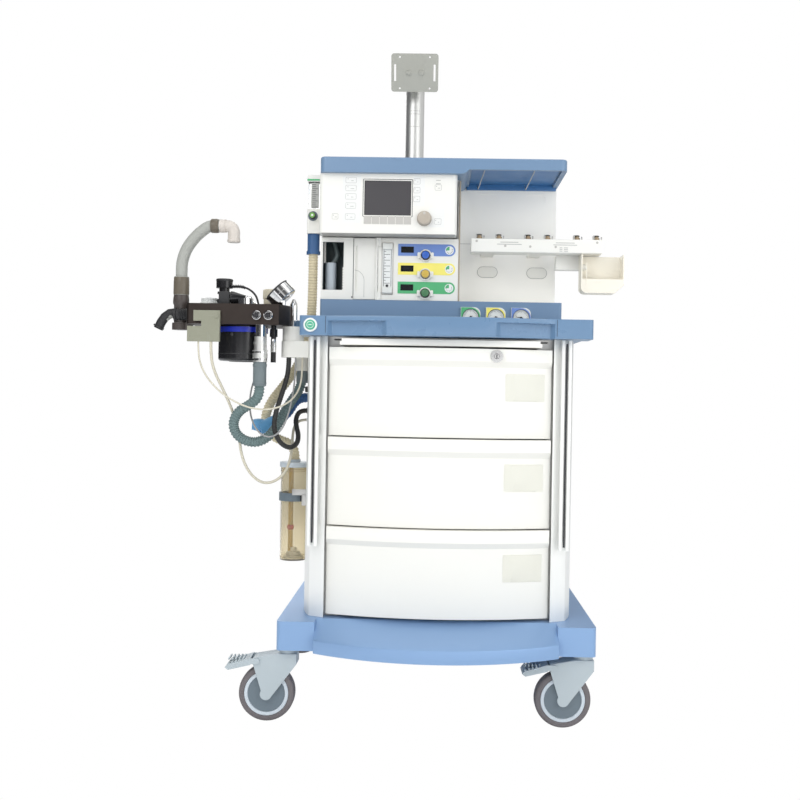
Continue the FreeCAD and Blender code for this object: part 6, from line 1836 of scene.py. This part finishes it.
    def _gauge(self, cart: Cart) -> None:
        """Black rim, white face, ticks and needle on the leaning pressure gauge, and its chrome back."""
        lean = math.radians(45)
        axis = Vector((-math.sin(lean), 0, math.cos(lean)))
        face = cart.at(-381, -222, 970)
        rim = turned([(-2, 31.6), (1.0, 31.8), (1.6, 31.0), (1.6, 28.6), (-1.4, 28.4)], face, axis, 72,
                     ring=True)
        piece("manometer_rim", rim, BLACK_MATT, SWING)
        dial = turned([(-1.6, 28.4), (-1.4, 28.4), (-1.4, 0)], face, axis, 64)
        piece("manometer_face", dial, DIAL_FACE, SWING)
        right, up = facing(axis)
        marks = []
        for i in range(13):
            turn = math.radians(225 - 22.5 * i)
            spoke = right * math.cos(turn) + up * math.sin(turn)
            marks.append(swept([face + (spoke * r - axis * 1.2) * MM for r in (21, 26.5)], 0.6, 4))
        spoke = right * math.cos(2.3) + up * math.sin(2.3)
        marks.append(swept([face + (spoke * r - axis * 0.9) * MM for r in (-6, 19)], 0.8, 6))
        piece("manometer_marks", merged(marks), INK_BLACK, SWING)
        sleeve = turned([(-29.6, 30.0), (-28.6, 31.4), (-15.0, 31.4), (-14.6, 30.9), (-14.2, 31.4),
                         (-1.9, 31.4)], face, axis, 96)
        piece("manometer_sleeve", sleeve, CHROME, SWING)

    def _sensor_cable(self, cart: Cart) -> None:
        """Black cable from the flow sensor: a coiled strain relief, then a curve down to the block."""
        path = cart.route([(-494, -205, 978), (-478, -210, 979), (-462, -214, 978), (-446, -218, 972),
                           (-433, -222, 962), (-425, -226, 950), (-422, -228, 936)])
        smooth = spline_points(path, 40)
        piece("sensor_cable", swept(smooth, 2.4, 12), BLACK, SWING)
        coil = []
        for i in range(120):
            share = i / 119
            index = share * 16
            at = smooth[int(index)].lerp(smooth[int(index) + 1], index % 1)
            turn = 2 * math.pi * 9 * share
            coil.append(at + Vector((0, math.cos(turn), math.sin(turn))) * 3.6 * MM)
        piece("sensor_cable_coil", swept(coil, 0.9, 8), BLACK_MATT, SWING)


def spline_points(route: Sequence[Vector], count: int) -> list[Vector]:
    """Evenly timed points on the open quadratic-continuous spline over some control points.

    Args:
        route: control points in metres.
        count: number of points wanted.

    Returns:
        The points along the spline.
    """
    curve = nurbs("route_probe", route, 0.0)
    data = bpy.data.meshes.new_from_object(curve)
    points = [Vector(v.co) for v in data.vertices]
    bpy.data.objects.remove(curve)
    bpy.data.meshes.remove(data)
    runs = [0.0]
    for first, second in zip(points, points[1:]):
        runs.append(runs[-1] + (second - first).length)
    even, index = [], 0
    for step in range(count):
        target = runs[-1] * step / (count - 1)
        while index < len(runs) - 2 and runs[index + 1] < target:
            index += 1
        span = max(runs[index + 1] - runs[index], 1e-9)
        even.append(points[index].lerp(points[index + 1], min((target - runs[index]) / span, 1.0)))
    return even


def nurbs(name: str, route: Sequence[Vector], thickness: float) -> bpy.types.Object:
    """An open spline through the scene's curve type.

    Args:
        name: the object's name.
        route: control points in metres.
        thickness: its radius in metres, or 0 for a bare line.

    Returns:
        The curve object, linked to the scene.
    """
    data = bpy.data.curves.new(name, "CURVE")
    data.dimensions = "3D"
    data.resolution_u = 16
    data.bevel_depth = thickness
    data.bevel_resolution = 5
    data.use_fill_caps = True
    spline = data.splines.new("NURBS")
    spline.points.add(len(route) - 1)
    for point, place in zip(spline.points, route):
        point.co = (*place, 1)
    spline.order_u = 3
    spline.use_endpoint_u = True
    made = bpy.data.objects.new(name, data)
    bpy.context.scene.collection.objects.link(made)
    return made


@dataclass
class Hose:
    """A hose or line between two fittings, either corrugated or smooth.

    Args:
        name: its name.
        diameter: outer diameter in millimetres.
        length: its real length.
        route: control points in the design.
        finish: its finish.
        pitch: corrugation pitch, or 0 for a smooth line.
        depth: corrugation depth.
        bends: two points in the design, or none; when given, the hose is left off every body, and the points
            themselves are not used.
        node: the CAD node that it stands for.
    """

    name: str
    diameter: float
    length: float
    route: Sequence[Point]
    finish: Finish
    pitch: float = 0.0
    depth: float = 1.6
    bends: tuple[Point, Point] | None = None
    node: str = ""
    stiffness: str = "medium"

    def build(self, cart: Cart) -> bpy.types.Object:
        """Makes the hose as a tube that follows its spline.

        Args:
            cart: the design's frame.

        Returns:
            The object.
        """
        control = cart.route(self.route)
        per_ring = self.pitch / 6 if self.pitch else 3.0
        path = spline_points(control, max(int(self.length / per_ring), 40))
        mesh = swept(path, self._radius, 28 if self.diameter > 10 else 12)
        made = piece(self.name, mesh, self.finish, "" if self.bends else ROOT, angle=80)
        if self.bends:
            start, end = (cart.at(*p) for p in self.bends)
            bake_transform(made)
        if self.node:
            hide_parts(self.node)
        return made

    def _radius(self, run: float) -> float:
        """Radius at a distance along the hose."""
        outer = self.diameter / 2
        if not self.pitch:
            return outer
        wave = 0.5 + 0.5 * math.cos(2 * math.pi * run / self.pitch)
        return outer - self.depth * (1 - wave ** 0.7)


@dataclass
class SideHoses:
    """Hoses, lines, cuffs and the scavenging receiver on the cart's left side."""

    vent: Hose = field(default_factory=lambda: Hose(
        "vent_hose_look", 24, 409, [
            (-414, -240, 748), (-414, -240, 722), (-437, -237, 704), (-462, -232, 690),
            (-477, -226, 664), (-472, -219, 637), (-450, -211, 619), (-421, -202, 616),
            (-396, -192, 632), (-379, -181, 659), (-366, -169, 688), (-352, -157, 714),
            (-338, -144, 736), (-330, -136, 761), (-330, -136, 786)], GREY_HOSE, pitch=6.5, depth=2.2,
        bends=((-330, -136, 786), (-414, -240, 748)), node="vent_hose"))
    black: Hose = field(default_factory=lambda: Hose(
        "black_hose_look", 12, 374, [
            (-354, -196, 816), (-354, -196, 786), (-361, -203, 752), (-371, -211, 717),
            (-381, -217, 681), (-383, -218, 648), (-371, -212, 618), (-349, -199, 603),
            (-333, -180, 613), (-333, -161, 634), (-341, -144, 652), (-345, -130, 671),
            (-336, -126, 691), (-318, -126, 691)], BLACK_HOSE, pitch=5.0, depth=0.8, node="black_hose"))
    blue: Hose = field(default_factory=lambda: Hose(
        "blue_hose_look", 24, 107, [
            (-318, -100, 722), (-337, -100, 722), (-353, -107, 709), (-362, -117, 690),
            (-375, -128, 674), (-392, -137, 665)], NAVY_HOSE, pitch=9.0, depth=1.2, node="blue_hose"))
    beige: Hose = field(default_factory=lambda: Hose(
        "beige_hose_look", 24, 570, [
            (-318, -60, 1075), (-318, -60, 992), (-320, -61, 908), (-330, -67, 848),
            (-351, -77, 795), (-382, -88, 749), (-413, -96, 708), (-425, -100, 668),
            (-417, -98, 636), (-391, -90, 618), (-364, -83, 609), (-352, -80, 590),
            (-352, -80, 570)], BEIGE_HOSE, pitch=7.0, depth=2.0, node="beige_hose"))
    clear: Hose = field(default_factory=lambda: Hose(
        "clear_tube_look", 6.5, 587, [
            (-523, -260, 847), (-523, -260, 814), (-516, -255, 781), (-502, -244, 748),
            (-489, -231, 717), (-479, -216, 686), (-472, -203, 654), (-467, -194, 621),
            (-463, -190, 588), (-452, -187, 557), (-433, -184, 531), (-407, -181, 518),
            (-380, -178, 526), (-360, -172, 547), (-351, -164, 576), (-349, -152, 605),
            (-351, -135, 630), (-350, -118, 653), (-338, -108, 668), (-321, -108, 668)], CREAM_LINE,
        bends=((-321, -108, 668), (-523, -260, 847)), node="small_tubes"))
    sample: Hose = field(default_factory=lambda: Hose(
        "sample_line_look", 4, 424, [
            (-552, -260, 847), (-552, -260, 815), (-541, -260, 781), (-520, -262, 752),
            (-492, -265, 727), (-459, -268, 708), (-424, -268, 696), (-389, -262, 694),
            (-358, -248, 703), (-335, -228, 722), (-324, -208, 750), (-322, -198, 783),
            (-322, -198, 816)], CREAM_LINE, bends=((-322, -198, 816), (-552, -260, 847))))
    lead: Hose = field(default_factory=lambda: Hose(
        "sensor_lead_look", 4, 520, [
            (-424, -118, 888), (-424, -118, 856), (-428, -124, 821), (-436, -136, 789),
            (-443, -155, 760), (-446, -177, 733), (-444, -197, 705), (-438, -212, 676),
            (-425, -223, 650), (-405, -230, 632), (-381, -232, 631), (-362, -228, 649),
            (-351, -221, 678), (-344, -212, 711), (-340, -204, 745), (-338, -198, 782),
            (-338, -198, 816)], GREY_LINE, bends=((-338, -198, 816), (-424, -118, 888))))

    def build(self, cart: Cart) -> None:
        """Makes every hose and the fittings that they meet."""
        for hose in (self.vent, self.black, self.blue, self.beige, self.clear, self.sample, self.lead):
            hose.build(cart)
        self._receiver(cart)
        self._cuffs(cart)

    def _receiver(self, cart: Cart) -> None:
        """Tan clear receiver with an amber tube, red float, pale foot, dark bracket and clamp lever."""
        Restyled("scavenger_canister", TAN_CLEAR, bevel=0.0).build(cart, ROOT)
        Restyled("side_fittings", LIGHT_GREY, bevel=0.0, others=[
            ((-352, -80, 561), RIM_GREY), ((-360, -80, 440), YELLOW_CAP), ((-350, -80, 480), HUB_GREY),
            ((-410, -146, 655), CUFF_LIGHT_BLUE), ((-314, -126, 691), BLACK_MATT), ((-314, -100, 722), CUFF_NAVY),
            ((-316, -108, 668), BAND_WHITE)]).build(cart, ROOT)
        bob = bmesh.new()
        bmesh.ops.create_uvsphere(bob, u_segments=24, v_segments=16, radius=8.5 * MM,
                                  matrix=Matrix.Translation(cart.at(-360, -80, 404)))
        piece("receiver_float", bob, INK_RED)
        foot = turned([(0, 24), (6, 24), (8, 18), (16, 16), (18, 9), (26, 8), (26, 0)],
                      cart.at(-352, -80, 329), Axis.UP.value, 48)
        piece("receiver_foot", foot, BAND_WHITE)
        lever = [brick(cart.at(-352, -122, 486), cart.at(-318, -116, 501), 1.5),
                 brick(cart.at(-328, -126, 462), cart.at(-317, -116, 488), 1.5)]
        piece("receiver_lever", merged(lever), STEEL)
        bracket = brick(cart.at(-334, -112, 470), cart.at(-312, -60, 496), 1.5)
        piece("receiver_bracket", bracket, BLACK_MATT)
        rings = [turned([(0, 33.4), (2.4, 33.4), (2.4, 33.0), (0, 33.0)], cart.at(-352, -80, z),
                        Axis.UP.value, 72, ring=True)
                 for z in (332, 541, 546)]
        piece("receiver_rings", merged(rings), TAN_CLEAR)

    def _cuffs(self, cart: Cart) -> None:
        """Light-blue double cuff, the grey cuff at the vent hose's end, and two black discs on the side."""
        path = cart.route([(-390, -138, 661), (-404, -142, 657), (-420, -146, 655), (-446, -150, 656)])
        cuff = swept(spline_points(path, 48), lambda run: 12.4 + 2.6 * abs(math.sin(run * math.pi / 28)), 32)
        piece("blue_hose_cuff", cuff, CUFF_LIGHT_BLUE)
        vent_end = turned([(0, 13.2), (4, 14.2), (22, 14.2), (26, 13.2), (30, 12.6)],
                          cart.at(-330, -136, 757), Axis.UP.value, 40)
        piece("vent_hose_cuff", vent_end, CUFF_GREY)
        discs = [turned([(0, 7), (3, 7), (4, 5.5), (4, 0)], cart.at(-313, y, 742), Axis.LEFT.value, 28)
                 for y in (-160, -176)]
        piece("side_discs", merged(discs), BLACK_MATT)


# ---- studio -------------------------------------------------------------------------------------
@dataclass(frozen=True)
class Light:
    """A rectangular soft light, aimed at a point of the design.

    Args:
        name: its name.
        place: where it hangs, in millimetres.
        size: width and height in metres.
        power: in watts.
    """

    name: str
    place: Point
    size: tuple[float, float]
    power: float

    def build(self, cart: Cart, target: Point) -> None:
        """Makes the light.

        Args:
            cart: the design's frame.
            target: what it points at.
        """
        data = bpy.data.lights.new(self.name, "AREA")
        data.shape = "RECTANGLE"
        data.size, data.size_y = self.size
        data.energy = self.power
        lamp = bpy.data.objects.new(self.name, data)
        bpy.context.scene.collection.objects.link(lamp)
        lamp.location = cart.at(*self.place)
        aim = cart.at(*target) - lamp.location
        lamp.rotation_euler = aim.to_track_quat("-Z", "Y").to_euler()


@dataclass
class Studio:
    """White surroundings, soft lights, a pale floor and the camera."""

    camera_at: Point = (-9.0, -2527.0, 745.0)
    yaw: float = 1.1
    roll: float = 1.0
    lens: float = 45.0
    shift: tuple[float, float] = (-0.021, -0.0125)
    ambient: float = 0.64
    reflected: Sequence[tuple[float, float]] = ((0.08, 0.95), (0.2, 0.16), (0.4, 0.12), (0.5, 1.0),
                                                (0.62, 0.2), (0.8, 0.9))
    lights: Sequence[Light] = (
        Light("key", (-1300, -2300, 2300), (1.8, 1.8), 29.0),
        Light("fill", (1700, -2100, 1350), (1.6, 2.0), 20.0),
        Light("top", (0, -300, 3200), (2.4, 2.0), 18.0),
        Light("low", (0, -2400, 500), (2.6, 0.7), 7.0),
        Light("rear", (-900, 2400, 1900), (2.0, 2.0), 30.0))

    def build(self, cart: Cart) -> None:
        """Makes the studio."""
        scene = bpy.context.scene
        scene.view_settings.view_transform = "Standard"
        self._world(scene)
        self._floor(cart)
        for light in self.lights:
            light.build(cart, (0, 0, 800))
        self._camera(scene, cart)

    def _world(self, scene: bpy.types.Scene) -> None:
        """White to the camera, softer as a light source."""
        world = bpy.data.worlds.new("studio_white")
        world.use_nodes = True
        nodes, links = world.node_tree.nodes, world.node_tree.links
        nodes.clear()
        rays = nodes.new("ShaderNodeLightPath")
        seen, light, mix = (nodes.new("ShaderNodeBackground"), nodes.new("ShaderNodeBackground"),
                            nodes.new("ShaderNodeMixShader"))
        mirror, bands = nodes.new("ShaderNodeBackground"), nodes.new("ShaderNodeMixShader")
        place, split, ramp = (nodes.new("ShaderNodeTexCoord"), nodes.new("ShaderNodeSeparateXYZ"),
                              nodes.new("ShaderNodeValToRGB"))
        links.new(place.outputs["Generated"], split.inputs[0])
        links.new(split.outputs["X"], ramp.inputs["Fac"])
        ramp.color_ramp.elements[0].color = (0.05, 0.05, 0.055, 1)
        ramp.color_ramp.elements[1].color = (0.6, 0.6, 0.6, 1)
        for stop, grey in self.reflected:
            ramp.color_ramp.elements.new(stop).color = (grey, grey, grey, 1)
        links.new(ramp.outputs[0], mirror.inputs["Color"])
        links.new(rays.outputs["Is Glossy Ray"], bands.inputs["Fac"])
        links.new(light.outputs[0], bands.inputs[1])
        links.new(mirror.outputs[0], bands.inputs[2])
        seen.inputs["Color"].default_value = (1, 1, 1, 1)
        light.inputs["Color"].default_value = (0.93, 0.965, 1.0, 1)
        light.inputs["Strength"].default_value = self.ambient
        out = nodes.new("ShaderNodeOutputWorld")
        links.new(rays.outputs["Is Camera Ray"], mix.inputs["Fac"])
        links.new(bands.outputs[0], mix.inputs[1])
        links.new(seen.outputs[0], mix.inputs[2])
        links.new(mix.outputs[0], out.inputs[0])
        scene.world = world

    @staticmethod
    def _floor(cart: Cart) -> None:
        """White floor that shows as the backdrop's white to the camera and still lights the underside."""
        mesh = bmesh.new()
        bmesh.ops.create_grid(mesh, x_segments=1, y_segments=1, size=9.0,
                              matrix=Matrix.Translation(cart.at(0, 0, 0) - Vector((0, 0, 0.0005))))
        data = bpy.data.meshes.new("floor")
        mesh.to_mesh(data)
        mesh.free()
        floor = bpy.data.objects.new("floor", data)
        bpy.context.scene.collection.objects.link(floor)
        material = bpy.data.materials.new("floor_white")
        material.use_nodes = True
        tree = material.node_tree
        tree.nodes.clear()
        rays = tree.nodes.new("ShaderNodeLightPath")
        glow = tree.nodes.new("ShaderNodeEmission")
        matt = tree.nodes.new("ShaderNodeBsdfDiffuse")
        matt.inputs["Color"].default_value = (0.9, 0.9, 0.9, 1)
        mix = tree.nodes.new("ShaderNodeMixShader")
        out = tree.nodes.new("ShaderNodeOutputMaterial")
        tree.links.new(rays.outputs["Is Camera Ray"], mix.inputs["Fac"])
        tree.links.new(matt.outputs[0], mix.inputs[1])
        tree.links.new(glow.outputs[0], mix.inputs[2])
        tree.links.new(mix.outputs[0], out.inputs[0])
        data.materials.append(material)

    def _camera(self, scene: bpy.types.Scene, cart: Cart) -> None:
        """Camera in front of the cart, below its top deck."""
        data = bpy.data.cameras.new("camera")
        data.lens = self.lens
        data.sensor_width = 36.0
        data.shift_x, data.shift_y = self.shift
        camera = bpy.data.objects.new("camera", data)
        scene.collection.objects.link(camera)
        turn = Matrix.Rotation(math.radians(self.yaw), 4, "Z") @ Matrix.Rotation(math.radians(90), 4, "X")
        camera.matrix_world = (Matrix.Translation(cart.at(*self.camera_at)) @ turn
                               @ Matrix.Rotation(math.radians(self.roll), 4, "Z"))
        scene.camera = camera


class Workstation:
    """The whole object, built around its frame."""

    def __init__(self) -> None:
        """Lists the sub-assemblies."""
        self.cart = Cart()
        self.parts = [CartBody(), Drawers(), Worktop(), HeadUnit(), DisplayUnit(), FlowPanel(),
                      VentilatorBay(), Console(), MonitorMast(), VaporizerBar(), AuxFlowmeter(),
                      BreathingSystem(), SideHoses()]

    def build(self) -> None:
        """Builds every sub-assembly."""
        for part in self.parts:
            LOG.info("building %s", type(part).__name__)
            part.build(self.cart)


def clear_scene() -> None:
    """Removes what a new file starts with."""
    for item in list(bpy.data.objects):
        bpy.data.objects.remove(item)


def main() -> None:
    logging.basicConfig(level=logging.INFO, format="%(name)s: %(message)s")
    random.seed(7)
    clear_scene()
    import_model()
    Workstation().build()
    Studio().build(Cart())


if __name__ == "__main__":
    main()
